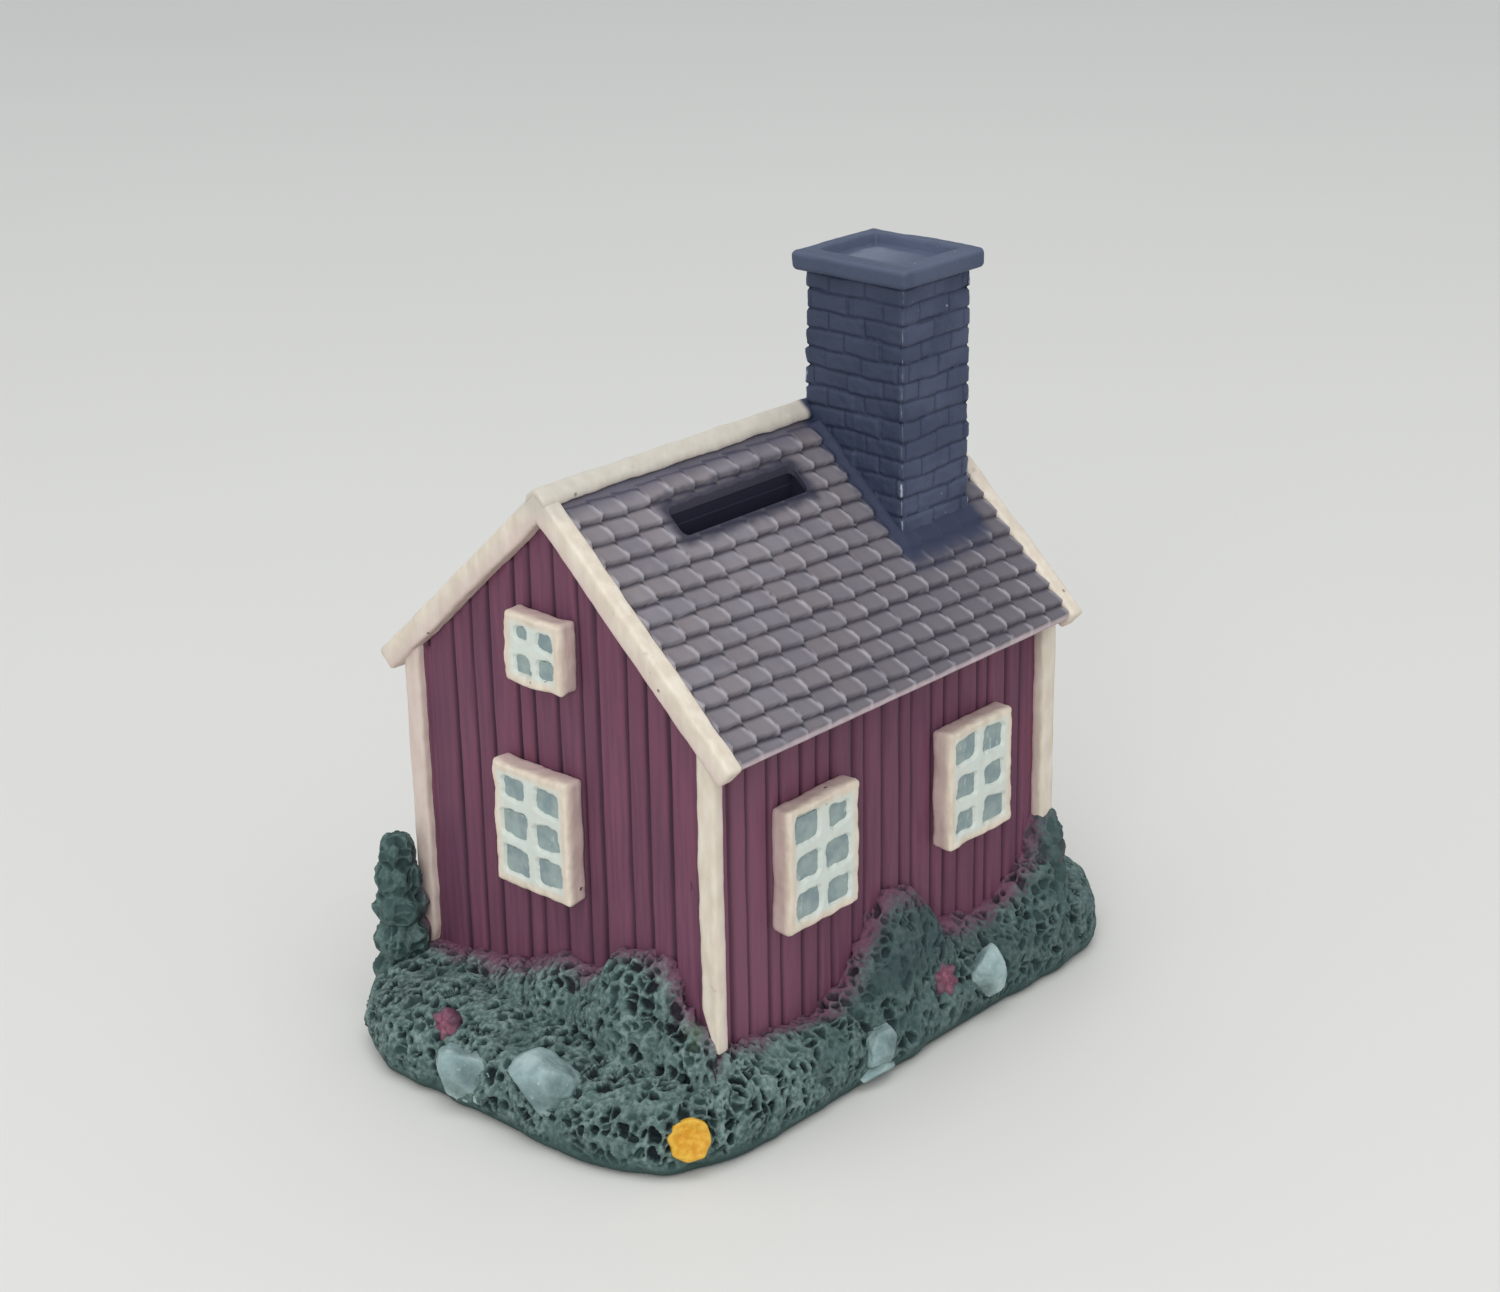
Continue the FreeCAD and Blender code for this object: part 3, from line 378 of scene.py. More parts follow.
long_side = (2 * HALF_LENGTH, 0.0, 4.7, 9.0)
gable_end = (2 * HALF_WIDTH, UNDER_APEX - UNDER_EAVE, 5.65, 6.0)
wall_sizes = {"front": ("wall_front", long_side), "rear": ("wall_rear", long_side),
              "left": ("gable_wall_left", gable_end), "right": ("gable_wall_right", gable_end)}
for seed, (wall, (node, (length, peak, board, joints))) in enumerate(wall_sizes.items(), start=1):
    height = UNDER_EAVE - WALL_FOOT
    mesh = boards.cast({"Length": length - 0.2, "Height": height, "Peak": peak, "Thickness": WALL_THICKNESS,
                        "Board": board, "Joints": joints, "Seed": float(seed),
                        **grid(0.3, Columns=length), **grid(2.2, Rows=height)})
    fit(f"boarding_{wall}", mesh, [node], on_wall(wall, 0.0, WALL_FOOT))


# Corner posts, barge boards and ridge cap
# Raised battens cast on the corners, along the gable ends and over the ridge. They carry a thick cream coat
# put on with a small brush, so their edges are round and wavy, with pits and thin places that show burgundy.

stack_low, stack_high = box_mm("chimney_stack")
STACK_MIDDLE = (stack_low.x + stack_high.x) / 2
STACK_HALF = (stack_high.x - stack_low.x) / 2

RIDGE_FROM = 111.0
cream = Paint("cream_brush_paint")
brushed = cream.blotches(2.2, 3.0, (1, 1, 3))
thin = cream.blotches(3.4, 5.0)
pinhole = 1 - cream.cells(cream.place, 3.6)["Distance"].rise(0.05, 0.12)
pinhole = pinhole * cream.blotches(11.0).rise(0.54, 0.64)
cream_x, _, cream_z = cream.split(cream.place)
off_stack = (abs(cream_x - STACK_MIDDLE) - STACK_HALF + 1.2 * (thin - 0.5)).rise(0.6, 2.2)
cream_colour = cream.layers(
    (213, 198, 179),
    (brushed.rise(0.3, 0.75), (228, 216, 199)),
    (cream.attribute("tint") * (0.55 + 0.4 * thin), (206, 220, 214)),
    # Flanks painted pinker: partly thin cream over burgundy, partly painted shade and a painted burgundy
    # reflection.
    (cream.attribute("side") * (0.4 + 0.55 * thin), (204, 176, 176)),
    (thin.rise(0.68, 0.76) * 0.4, (180, 146, 146)),
    (pinhole, (110, 86, 80)),
    # Painted shade: the top of the roof, from the ridge batten up, is painted greyer and darker.
    (cream_z.rise(RIDGE_FROM, RIDGE_FROM + 4.0) * (0.35 + 0.4 * thin), (186, 183, 174)),
    # Painted shade: beside the chimney stack the ridge is painted dark navy, for the shadow between them.
    ((1 - off_stack) * cream_z.rise(RIDGE_FROM + 1.0, RIDGE_FROM + 2.5), (52, 58, 80)))
trim_paint = cream.coat(cream_colour, 0.38 + 0.2 * thin, brushed + 0.8 * thin - 1.5 * pinhole, 0.2, 0.4)

battens = Form("painted_battens", {"Length": 60.0, "Width": 4.0, "Height": 4.0, "Rounding": 0.8,
                                   "Wobble": 0.5, "Mitre": 0.0, "Fold": 0.0, "Point": 0.0, "Lean": 0.0,
                                   "Seed": 1.0, **COUNTS}, trim_paint)


def rounded_block(form, length, width, height, radius):
    """A block with round edges and corners: its mesh, a point's place before the rounding, and after it."""
    mesh, place = form.block(length, width, height)
    point = form.join(*place)
    half = form.join(length / 2, width / 2, height / 2)
    inner = form.vector("SUBTRACT", half, form.join(radius, radius, radius))
    least = form.vector("MULTIPLY", inner, (-1, -1, -1))
    held = form.vector("MINIMUM", form.vector("MAXIMUM", point, least), inner)
    beyond = form.vector("NORMALIZE", form.vector("SUBTRACT", point, held))
    reach = form.vector("MULTIPLY", beyond, form.join(radius, radius, radius))
    return mesh, place, form.vector("ADD", held, reach)


length, width, height, rounding, wobble, mitre, fold, point, lean, seed, *_ = battens.sizes
batten_mesh, (x, y, z), soft = rounded_block(battens, length, width, height, rounding)
shifted = battens.vector("ADD", soft, battens.join(seed * 41, 0.0, 0.0))
sx, sy, sz = battens.split(soft)
wave_y = battens.ripple(shifted, 7.0, 3.0)
wave_z = battens.ripple(battens.vector("ADD", shifted, (0.0, 60.0, 0.0)), 6.0, 3.0)
from_start = (sx / length + 0.5) * length
narrowing = 1 - point * (1 - from_start.rise(0.0, 9.0))
py = sy * narrowing + wave_y * wobble * (0.5 + 3.2 * sy / width)
py = py + lean * (1 - narrowing) * width / 2
pz = sz + wave_z * wobble
mitred = sx - mitre * pz * (1 - from_start.rise(0.0, 8.0))
fold_cos = fold.math("COSINE")
fold_sin = fold.math("SINE")
soft_fold = (py * py + 0.6).math("SQRT")
# The part of a batten's flanks nearer the wall is painted pinker: thin cream, painted shade and painted
# reflection.
on_flank = 0.6 - 0.6 * (z / height + 0.5).rise(0.15, 0.75)
batten_mesh = battens.mark(batten_mesh, side=on_flank, tint=0.12)
battens.close(batten_mesh, battens.join(mitred, py * fold_cos, pz - soft_fold * fold_sin))


def batten(length, width, height, seed, **shape):
    counts = {**grid(0.6, Columns=length), **grid(0.5, Rows=width, Layers=height)}
    return battens.cast({"Length": length, "Width": width, "Height": height, "Seed": seed, **shape, **counts})


CORNERS = ("front_left", "front_right", "rear_left", "rear_right")
for seed, name in enumerate(CORNERS):
    low, high = box_mm(f"corner_post_{name}")
    middle = (low + high) / 2
    nearest_post = name == "front_left"
    foot = low.z + (10.5 if nearest_post else 3.0)
    mesh = batten(high.z - foot, high.x - low.x, high.y - low.y, 3.0 + seed, Rounding=0.7, Wobble=0.5,
                  Point=0.75, Lean=-0.9 if nearest_post else 0.0)
    stand = Matrix.Rotation(math.radians(-90), 4, "Y") @ Matrix.Rotation(math.radians(90 * seed), 4, "X")
    upright = Matrix.Translation((middle.x, middle.y, (foot + high.z) / 2)) @ stand
    fit(f"corner_batten_{name}", mesh, [f"corner_post_{name}"], upright)

deck_low, deck_high = box_mm("roof_deck_front")
RIDGE_HEIGHT = deck_high.z
SLOPE_LENGTH = -deck_low.y / math.cos(ROOF_PITCH)
DECK_THICKNESS = 2.2
BARGE_PROUD = 1.6
BARGE_DEPTH = DECK_THICKNESS + BARGE_PROUD + 0.9
BARGE_LENGTH = SLOPE_LENGTH + 1.0


def on_slope(side_y, along=0.0, down=0.0, lift=0.0):
    """Lays a flat piece, with Y down the slope and Z off it, on one side of the roof."""
    down_slope = Vector((0, side_y * math.cos(ROOF_PITCH), -math.sin(ROOF_PITCH)))
    off_slope = Vector((0, side_y * math.sin(ROOF_PITCH), math.cos(ROOF_PITCH)))
    across = down_slope.cross(off_slope)
    turned = Matrix((across, down_slope, off_slope)).transposed().to_4x4()
    at_ridge = Matrix.Translation((0, 0, RIDGE_HEIGHT))
    return at_ridge @ turned @ Matrix.Translation((along * side_y, down, lift))


for seed, name in enumerate(CORNERS):
    low, high = box_mm(f"barge_board_{name}")
    mesh = batten(BARGE_LENGTH, high.x - low.x, BARGE_DEPTH, 11.0 + seed, Rounding=0.8, Wobble=0.7,
                  Mitre=math.tan(ROOF_PITCH))
    sunk_in = Matrix.Translation((0, BARGE_LENGTH / 2, BARGE_PROUD - BARGE_DEPTH / 2))
    on_edge = on_slope(-1 if name.startswith("front") else 1, (low.x + high.x) / 2)
    fit(f"barge_batten_{name}", mesh, [f"barge_board_{name}"],
        on_edge @ sunk_in @ Matrix.Rotation(math.radians(90), 4, "Z"))

RIDGE_WIDTH = 6.8
ridge_top = box_mm("ridge_cap")[1].z
gable_reach = box_mm("barge_board_front_right")[1].x
mesh = batten(2 * gable_reach + 0.4, RIDGE_WIDTH, 1.7, 23.0, Rounding=0.7, Wobble=0.9, Fold=ROOF_PITCH)
fit("ridge_batten", mesh, ["ridge_cap"], Matrix.Translation((0, 0, ridge_top - 0.1)))


# Roof decks and tiles
# Two thin cast slopes whose outer face is a relief of small pantiles in level courses. They are painted grey
# and dry-brushed paler on the rolled edges, which also carry a painted highlight, with painted shadow under
# each course. The front one has an upright coin slot.

slot_box = frame["record"]["physics"]["openings"][0]["box_m"]
SLOT_LEFT, SLOT_RIGHT = slot_box[0][0] * 1000, slot_box[1][0] * 1000
SLOT_FRONT, SLOT_BACK = slot_box[0][1] * 1000, slot_box[1][1] * 1000

tiling = Paint("grey_pantiles")
worn = tiling.blotches(2.4, 4.0)
weather = tiling.blotches(14.0, 3.0)
roof_x, roof_y, _ = tiling.split(tiling.place)


def spread(box_low, box_high, forward=1.0):
    """Distance on plan from an upright box, roughened like the edge of sprayed paint."""
    off_x = (abs(roof_x - (box_low[0] + box_high[0]) / 2) - (box_high[0] - box_low[0]) / 2).most(0.0)
    off_y = (abs(roof_y - (box_low[1] + box_high[1]) / 2) - (box_high[1] - box_low[1]) / 2).most(0.0)
    return (off_x * off_x + off_y * off_y * forward).math("SQRT") + 1.6 * (worn - 0.5)


front_side = roof_y.math("LESS_THAN", 0.0)
shaded = (0.011 * roof_x + 0.017 * abs(roof_y) + 0.5 * (weather - 0.5)).rise(-0.2, 0.9)
stack_spray = 1 - spread(stack_low, stack_high, 0.3).rise(1.0, 4.2)
slot_spray = 1 - spread((SLOT_LEFT, SLOT_FRONT), (SLOT_RIGHT, SLOT_BACK)).rise(0.3, 2.8)
roof_grey = tiling.layers(
    (116, 111, 119),
    (weather.rise(0.35, 0.65), (134, 129, 136)),
    (worn.rise(0.45, 0.7) * 0.5, (128, 120, 122)),
    (tiling.attribute("tile_tone").rise(0.3, 0.9) * 0.45, (130, 121, 119)),
    (shaded * 0.75, (88, 84, 92)),
    # Pale rolled edges: partly dry-brushing, partly a painted highlight.
    (tiling.attribute("crest") * (0.3 + 0.8 * worn), (178, 174, 182)),
    # Painted shadow under each course's butt and at each tile's drop.
    (tiling.attribute("gap") * (0.72 + 0.4 * weather), (52, 48, 60)),
    (tiling.attribute("eave") * (0.4 + 0.6 * worn), (208, 190, 194)),
    ((1 - abs(roof_y).rise(3.2, 6.4)) * 0.55, (66, 66, 86)),
    (stack_spray * front_side * 0.97, (47, 54, 78)),
    (slot_spray * front_side * 0.88, (40, 40, 58)))
roof_paint = tiling.coat(roof_grey, 0.55 + 0.25 * worn, worn + 0.4 * weather, 0.14)

EAVE_FROM = 41.5
eave_edge = Paint("roof_edge")
edge_brushed = eave_edge.blotches(2.0, 4.0, (4, 1, 1))
edge_y = eave_edge.split(eave_edge.place)[1]
edge_colour = eave_edge.layers(
    (140, 118, 128),
    (edge_brushed.rise(0.4, 0.6), (196, 180, 178)),
    (1 - abs(edge_y).rise(EAVE_FROM, EAVE_FROM + 1.0), (30, 31, 48)))
deck_paint = eave_edge.coat(edge_colour, 0.7 + 0.1 * edge_brushed, edge_brushed, 0.12)
dress("roof_deck_rear", deck_paint)


def as_mesh(form, name):
    """The plain mesh of a form built point by point, which is then done with."""
    mesh = bpy.data.meshes.new(name)
    form.to_mesh(mesh)
    form.free()
    return mesh


def through_rings(loops, closed, smooth=True):
    """A mesh through rings of places: a closed hoop of them, or a stack with its two ends filled."""
    form = bmesh.new()
    rings = [[form.verts.new(place) for place in loop] for loop in loops]
    for ring, following in zip(rings, rings[1:] + rings[:1] if closed else rings[1:]):
        for part in range(len(ring)):
            after = (part + 1) % len(ring)
            form.faces.new((ring[part], following[part], following[after], ring[after]))
    if not closed:
        form.faces.new(rings[0])
        form.faces.new(rings[-1])
    bmesh.ops.recalc_face_normals(form, faces=form.faces)
    for face in form.faces:
        face.smooth = smooth
    return as_mesh(form, "ringed_form")


def slot_rim():
    """The thick resin round the slot: an upright frame that goes on down below the deck."""
    width, above, below = 1.6, 0.6, -3.2
    loops = []
    for widen, lift in ((0.0, above), (0.0, below), (width, below), (width, above)):
        left, right = SLOT_LEFT - widen, SLOT_RIGHT + widen
        front, back = SLOT_FRONT - widen, SLOT_BACK + widen
        corners = [(left, front), (right, front), (right, back), (left, back)]
        loops.append([Vector((cx, cy, UNDER_APEX + cy * math.tan(ROOF_PITCH) + lift)) / 1000
                      for cx, cy in corners])
    return through_rings(loops, closed=True, smooth=False)


slotted = bmesh.new()
slotted.from_mesh(slot_rim())
slotted.from_mesh(frame["nodes"]["roof_deck_front"].data)
mesh = coated(as_mesh(slotted, "slotted_deck"), deck_paint)
mesh.polygons.foreach_set("material_index", [0] * len(mesh.polygons))
set_piece("slotted_deck", mesh, ["roof_deck_front"])

tiles = Form("pantiles", {"Length": 95.0, "Slope": 59.0, "Lead": 3.0, "Course": 4.4, "Tile": 5.9, "Butt": 1.2,
                          "Slot Across": 0.0, "Slot Length": 0.0, "Slot Down": 0.0, "Slot Width": 0.0,
                          "Stack Across": 0.0, "Stack Length": 0.0, "Stack Down": 0.0, "Seed": 1.0,
                          **COUNTS}, roof_paint)
(length, slope, lead, course, tile, butt, slot_across, slot_length, slot_down, slot_width,
 stack_across, stack_length, stack_down, seed, *_) = tiles.sizes
tile_mesh, (x, y, z) = tiles.block(length, slope, 0.6)
down = y + slope / 2
seeded = tiles.join(x, down, seed * 53)
wavy = down + 1.1 * tiles.ripple(seeded, 16.0) + 0.5 * tiles.ripple(seeded, 5.0, 1.0)
row_guess = ((wavy - lead) / course).floor()
across = (x + length / 2) / tile + 0.12 * tiles.ripple(seeded, 9.0)
across = across + 0.12 * tiles.chance(row_guess, 3.0, seed)
column = across.floor()
to_right = 1 - across.fraction()
tile_chance = tiles.chance(column, row_guess, seed)
slanted = (wavy - lead) / course - 0.16 * (to_right - 0.5) + 0.06 * (tile_chance - 0.5)
to_butt = slanted.fraction()
in_tiles = slanted.rise(-0.08, 0.05)
bend = to_right + 0.16 * (1 - to_butt) * (1 - to_butt)
roll = (bend.rise(0.4, 0.95) * (1 - bend.rise(0.99, 1.12))).most(1 - bend.rise(0.0, 0.24))
swell = to_right * (1 - to_right) * 4
butt_drop = 1 - to_butt.rise(0.86, 1.0)
lift = butt * (0.12 + 0.88 * to_butt * butt_drop) + 0.4 * roll + 0.2 * swell
lift = lift + 0.2 * (tile_chance - 0.5) + 0.3 * tiles.ripple(seeded, 3.0)
past_end = abs(x - slot_across) - slot_length / 2
past_side = abs(down - slot_down) - slot_width / 2
by_slot = (1 - past_end.most(past_side).rise(0.3, 1.5)) * slot_width.above(0.0)
lift = lift + by_slot * (0.7 - lift)
beside = 1.8 * (abs(x - stack_across) - stack_length / 2).most(0.0)
below = 0.7 * (down - stack_down).most(0.0)
off_stack = (beside * beside + below * below).math("SQRT")
has_stack = stack_length.above(0.0)
cove = (1 - off_stack.rise(0.0, 3.2)) * has_stack
lift = lift + (1 - off_stack.rise(1.2, 4.4)) * has_stack * (0.5 - lift) + 1.2 * cove * cove
to_eave = slope - down + 0.7 * tiles.ripple(seeded, 3.0)
thickness = 0.35 + in_tiles * lift + 0.15 * (1 - in_tiles)
height = z.above(0) * thickness * (0.15 + 0.85 * to_eave.rise(0.0, 1.1))
# Where the rolled edges are painted pale: dry-brushing and a painted highlight.
rolled_edge = bend.rise(0.78, 0.97) * (1 - bend.rise(0.99, 1.05)) * to_butt.rise(0.0, 0.3)
crest = (rolled_edge + 0.12 * swell * to_butt) * (0.6 + 0.7 * tile_chance).least(1.0)
# Where painted shadow lies: just under each course's butt and at each tile's drop.
under_butt = (1 - to_butt.rise(0.02, 0.22)).most(to_butt.rise(0.93, 1.0))
gap = (under_butt + 0.1 * bend.rise(0.98, 1.04)).least(1.0)
tile_mesh = tiles.mark(tile_mesh, crest=crest * in_tiles, tile_tone=tile_chance, gap=gap * in_tiles,
                       eave=1 - to_eave.rise(0.35, 0.8))
tiles.close(tile_mesh, tiles.join(x, y, height))


def cut_slot(piece):
    """Takes the upright coin slot, with its paint-softened corners, out of a piece of the roof."""
    radius = 1.3
    cut_from, cut_height = 0.06, 0.09
    shape = bmesh.new()
    outline = []
    for turn, (side_x, side_y) in enumerate([(1, 1), (-1, 1), (-1, -1), (1, -1)]):
        corner_x = (SLOT_RIGHT if side_x > 0 else SLOT_LEFT) - side_x * radius
        corner_y = (SLOT_BACK if side_y > 0 else SLOT_FRONT) - side_y * radius
        for part in range(5):
            angle = math.radians(90 * turn + 22.5 * part)
            outline.append((corner_x + radius * math.cos(angle), corner_y + radius * math.sin(angle)))
    bottom = shape.faces.new([shape.verts.new((px * 0.001, py * 0.001, cut_from)) for px, py in outline])
    raised = bmesh.ops.extrude_face_region(shape, geom=[bottom])
    tops = [item for item in raised["geom"] if isinstance(item, bmesh.types.BMVert)]
    bmesh.ops.translate(shape, verts=tops, vec=(0, 0, cut_height))
    bmesh.ops.recalc_face_normals(shape, faces=shape.faces)
    knife = linked("slot_cutter", coated(as_mesh(shape, "slot_cutter"), roof_paint))
    trimming = piece.modifiers.new("slot", "BOOLEAN")
    trimming.operation = "DIFFERENCE"
    trimming.object = knife
    cut_mesh = plain_mesh(piece)
    piece.modifiers.remove(trimming)
    piece.data = cut_mesh
    bpy.data.objects.remove(knife)


tile_length = deck_high.x - deck_low.x
tile_course = 4.42
tile_slope = SLOPE_LENGTH + 0.5
tile_lead = SLOPE_LENGTH - 12.6 * tile_course
through_front = {
    "Slot Across": -(SLOT_LEFT + SLOT_RIGHT) / 2, "Slot Length": SLOT_RIGHT - SLOT_LEFT,
    "Slot Down": -(SLOT_FRONT + SLOT_BACK) / 2 / math.cos(ROOF_PITCH),
    "Slot Width": (SLOT_BACK - SLOT_FRONT) / math.cos(ROOF_PITCH),
    "Stack Across": -STACK_MIDDLE, "Stack Length": 2 * STACK_HALF,
    "Stack Down": -stack_low.y / math.cos(ROOF_PITCH),
}
for side_y, name, seed, openings in ((-1, "front", 1.0, through_front), (1, "rear", 2.0, {})):
    mesh = tiles.cast({"Length": tile_length, "Slope": tile_slope, "Lead": tile_lead, "Course": tile_course,
                       "Tile": tile_length / 16, "Butt": 1.15, "Seed": seed, **openings,
                       **grid(0.47, Columns=tile_length), **grid(0.25, Rows=SLOPE_LENGTH)})
    field = fit(f"pantiles_{name}", mesh, [f"roof_tiles_{name}"],
                on_slope(side_y, 0.0, tile_slope / 2))
    if openings:
        cut_slot(field)


# Chimney
# A stack of small bricks in running bond, cast solid on the front slope close to the ridge, under a slab with
# a sunk top. Both are painted slate blue; corners have lost their paint and show the white resin. The stack's
# left face is painted darker as shade, the cap's top edges carry a painted highlight line, and its sunk top a
# painted highlight towards the back.

slate = Paint("slate_blue_bricks")
corner = slate.attribute("corner")
grain = slate.blotches(1.4, 4.0)
drift = slate.blotches(12.0, 3.0)
brick_x, _, brick_z = slate.split(slate.place)
STACK_LEFT = STACK_MIDDLE - STACK_HALF
WORN_BELOW = 126.0
wear = 0.5 * (slate.blotches(4.0, 3.0) - 0.5) + 0.22 * (1 - brick_z.rise(WORN_BELOW - 18.0, WORN_BELOW))
chip = (corner + 0.5 * (grain - 0.5) + wear).rise(0.93, 1.06)
fleck = slate.blotches(0.9).rise(0.7, 0.76) * slate.blotches(9.0).rise(0.48, 0.62)
fleck = fleck * brick_x.rise(STACK_LEFT + 0.5, STACK_LEFT + 1.5)
brick_colour = slate.layers(
    (60, 69, 92),
    (drift.rise(0.35, 0.65), (74, 82, 105)),
    # Painted shade: the stack's left face is painted darker.
    ((1 - brick_x.rise(STACK_LEFT + 0.3, STACK_LEFT + 1.6)) * 0.6, (46, 56, 76)),
    (slate.attribute("slab") * 0.5, (82, 92, 114)),
    (slate.attribute("joint").rise(0.5, 1.0) * 0.55, (36, 42, 64)),
    # Painted highlight: the cap's sunk top is painted paler towards the back.
    (slate.attribute("dust") * (0.3 + 0.5 * grain), (132, 140, 156)),
    # Pale corners: worn paint on the stack; on the cap's top edges also a painted highlight line.
    (corner * (0.1 + 0.5 * grain), (104, 113, 132)),
    ((chip + 0.7 * fleck).least(1.0) * 0.8, (176, 182, 194)))
brick_paint = slate.coat(brick_colour, 0.5 + 0.25 * grain, grain + 0.5 * drift, 0.16)

bricks = Form("brick_stack", {"Width": 20.0, "Depth": 24.0, "Top": 143.0, "Front": -24.0, "Apex": 112.0,
                              "Slope": 0.9, "Course": 3.75, "Brick": 8.8, **COUNTS}, brick_paint)
width, depth, top, front, apex, slope, course_height, brick, *_ = bricks.sizes
stack_mesh, (x, y, z) = bricks.block(width, depth, 1.0)
foot = apex + (y + front + depth / 2) * slope
level = top - (0.5 - z) * (top - foot)
on_x = (abs(x) - width / 2).above(-0.01)
on_y = (abs(y) - depth / 2).above(-0.01)
along = x * on_y * (1 - on_x) + y * on_x * (1 - on_y)
span = width / 2 * on_y + depth / 2 * on_x
spot = bricks.join(x, y, level)
courses = (top - level + 1.5 * bricks.ripple(spot, 9.0)) / course_height
course = courses.floor()
bed_distance = (0.5 - abs(courses.fraction() - 0.5)) * course_height
stagger = 0.5 * (course / 2).fraction() * 2 * brick + 1.6 * (bricks.chance(course, on_x, 2.0) - 0.5)
lengths = (along + stagger + on_x * 2.2) / brick + 40
head_distance = (0.5 - abs(lengths.fraction() - 0.5)) * brick
corner_distance = (span - abs(along)) * (1 - on_x * on_y)
head_joint = (1 - head_distance.rise(0.05, 0.5)) * corner_distance.rise(0.6, 1.6) * 0.9
joint = head_joint.most(1 - bed_distance.rise(0.05, 0.55))
brick_chance = bricks.chance(course, lengths.floor() + on_x * 17, x.above(0) + 2 * y.above(0))
tilt = 0.35 * (courses.fraction() - 0.5) * (bricks.chance(course, lengths.floor(), 5.0) - 0.2)
sink = joint * 0.5 - 0.6 * (brick_chance - 0.5) + 0.7 * bricks.ripple(spot, 3.0) + tilt
inward = sink + 0.35 * (1 - corner_distance.rise(0.0, 1.0))
moved_x = x - x.math("SIGN") * on_x * inward
moved_y = y - y.math("SIGN") * on_y * inward
bare_corner = (1 - corner_distance.rise(0.1, 0.9)) * (1 - joint)
stack_mesh = bricks.mark(stack_mesh, joint=joint, corner=bare_corner)
bricks.close(stack_mesh, bricks.join(moved_x, moved_y, level))

stack_middle = (stack_low + stack_high) / 2
stack_size = stack_high - stack_low
mesh = bricks.cast({"Width": stack_size.x, "Depth": stack_size.y, "Top": stack_high.z, "Front": stack_low.y,
                    "Apex": UNDER_APEX, "Slope": math.tan(ROOF_PITCH), "Course": 3.75, "Brick": 8.8,
                    **grid(0.34, Columns=stack_size.x, Rows=stack_size.y, Layers=stack_size.z)})
fit("brick_stack", mesh, ["chimney_stack"],
    Matrix.Translation((stack_middle.x, stack_middle.y, 0)))

slab = Form("chimney_slab", {"Width": 24.0, "Depth": 27.0, "Height": 4.0, "Rim": 4.2, "Sunk": 2.1, **COUNTS},
            brick_paint)
width, depth, height, rim, sunk, *_ = slab.sizes
slab_mesh, (x, y, z), soft = rounded_block(slab, width, depth, height, 1.1)
sx, sy, sz = slab.split(soft)
uneven = slab.ripple(slab.join(x, y, z), 8.0, 2.0)
inside_x = width / 2 - rim - abs(x)
inside = inside_x.least(depth / 2 - rim - abs(y)) + uneven
at_top = (sz / height).rise(0.2, 0.45)
top_edge = (width / 2 - abs(sx)).least(depth / 2 - abs(sy))
# corner: wear and a painted highlight line along the cap's top edges; the last mark: a painted highlight on
# its sunk top.
slab_mesh = slab.mark(slab_mesh, corner=0.82 * (1 - top_edge.rise(0.3, 1.1)) * at_top, slab=1.0,
                      dust=inside.rise(0.2, 2.5) * (y / depth).rise(-0.3, 0.3))
stretched = 1 + 0.07 * uneven
slab_top = sz - inside.rise(-0.4, 0.5) * sunk * at_top + 0.6 * uneven
slab.close(slab_mesh, slab.join(sx * stretched, sy * stretched, slab_top))

cap_low, cap_high = box_mm("chimney_cap")
cap_size = cap_high - cap_low
mesh = slab.cast({"Width": cap_size.x, "Depth": cap_size.y, "Height": cap_size.z,
                  **grid(0.36, Columns=cap_size.x, Rows=cap_size.y, Layers=cap_size.z)})
fit("chimney_slab", mesh, ["chimney_cap"], Matrix.Translation((cap_low + cap_high) / 2))


# Windows
# Boxed-out blocks cast on the walls, with small sunk panes. The bars and borders have a thick cream coat that
# runs into the panes, so these end up uneven; the panes are washed grey-blue.

glass = Paint("grey_blue_panes")
wash = glass.blotches(3.0, 3.0)
smear = glass.blotches(1.3, 3.0, (1, 1, 2))
pane_colour = glass.layers(
    (126, 144, 148),
    (wash.rise(0.3, 0.7), (152, 168, 164)),
    (smear.rise(0.62, 0.72) * 0.5, (196, 206, 200)))
pane_paint = glass.coat(pane_colour, 0.3 + 0.3 * wash, smear, 0.1, 0.45)

casement = Form("boxed_window", {"Width": 20.0, "Height": 25.0, "Proud": 4.5, "Border": 2.3, "Bar": 2.1,
                                 "Panes": 3.0, "Sunk": 1.0, "Seed": 1.0, **COUNTS}, trim_paint)
PANE_CORNER = 1.1
width, height, proud, border, bar, panes, pane_depth, seed, *_ = casement.sizes
frame_mesh, (x, y, z), soft = rounded_block(casement, width, height, proud, 0.9)
sx, sy, sz = casement.split(soft)
seeded = casement.join(x, y, seed * 37 + z)
bulge_x = casement.ripple(seeded, 8.0, 3.0)
bulge_y = casement.ripple(casement.vector("ADD", seeded, (0.0, 0.0, 11.0)), 8.0, 3.0)
pane_width = (width - 2 * border - bar) / 2
pane_height = (height - 2 * border - (panes - 1) * bar) / panes
column_place = (x + width / 2 - border + bar / 2) / (pane_width + bar)
row_place = (y + height / 2 - border + bar / 2) / (pane_height + bar)
column = column_place.floor()
row = row_place.floor()
shift_x = 0.6 * (casement.chance(column, row, seed) - 0.5)
shift_y = 0.6 * (casement.chance(column, row, seed + 5) - 0.5)
small = casement.chance(column, row, seed + 9)
shrink = 1.3 * small * small * small - 0.25
pane_x = (column_place.fraction() - 0.5) * (pane_width + bar) - shift_x
pane_y = (row_place.fraction() - 0.5) * (pane_height + bar) - shift_y
lean = 0.25 * (casement.chance(column, row, seed + 13) - 0.5)
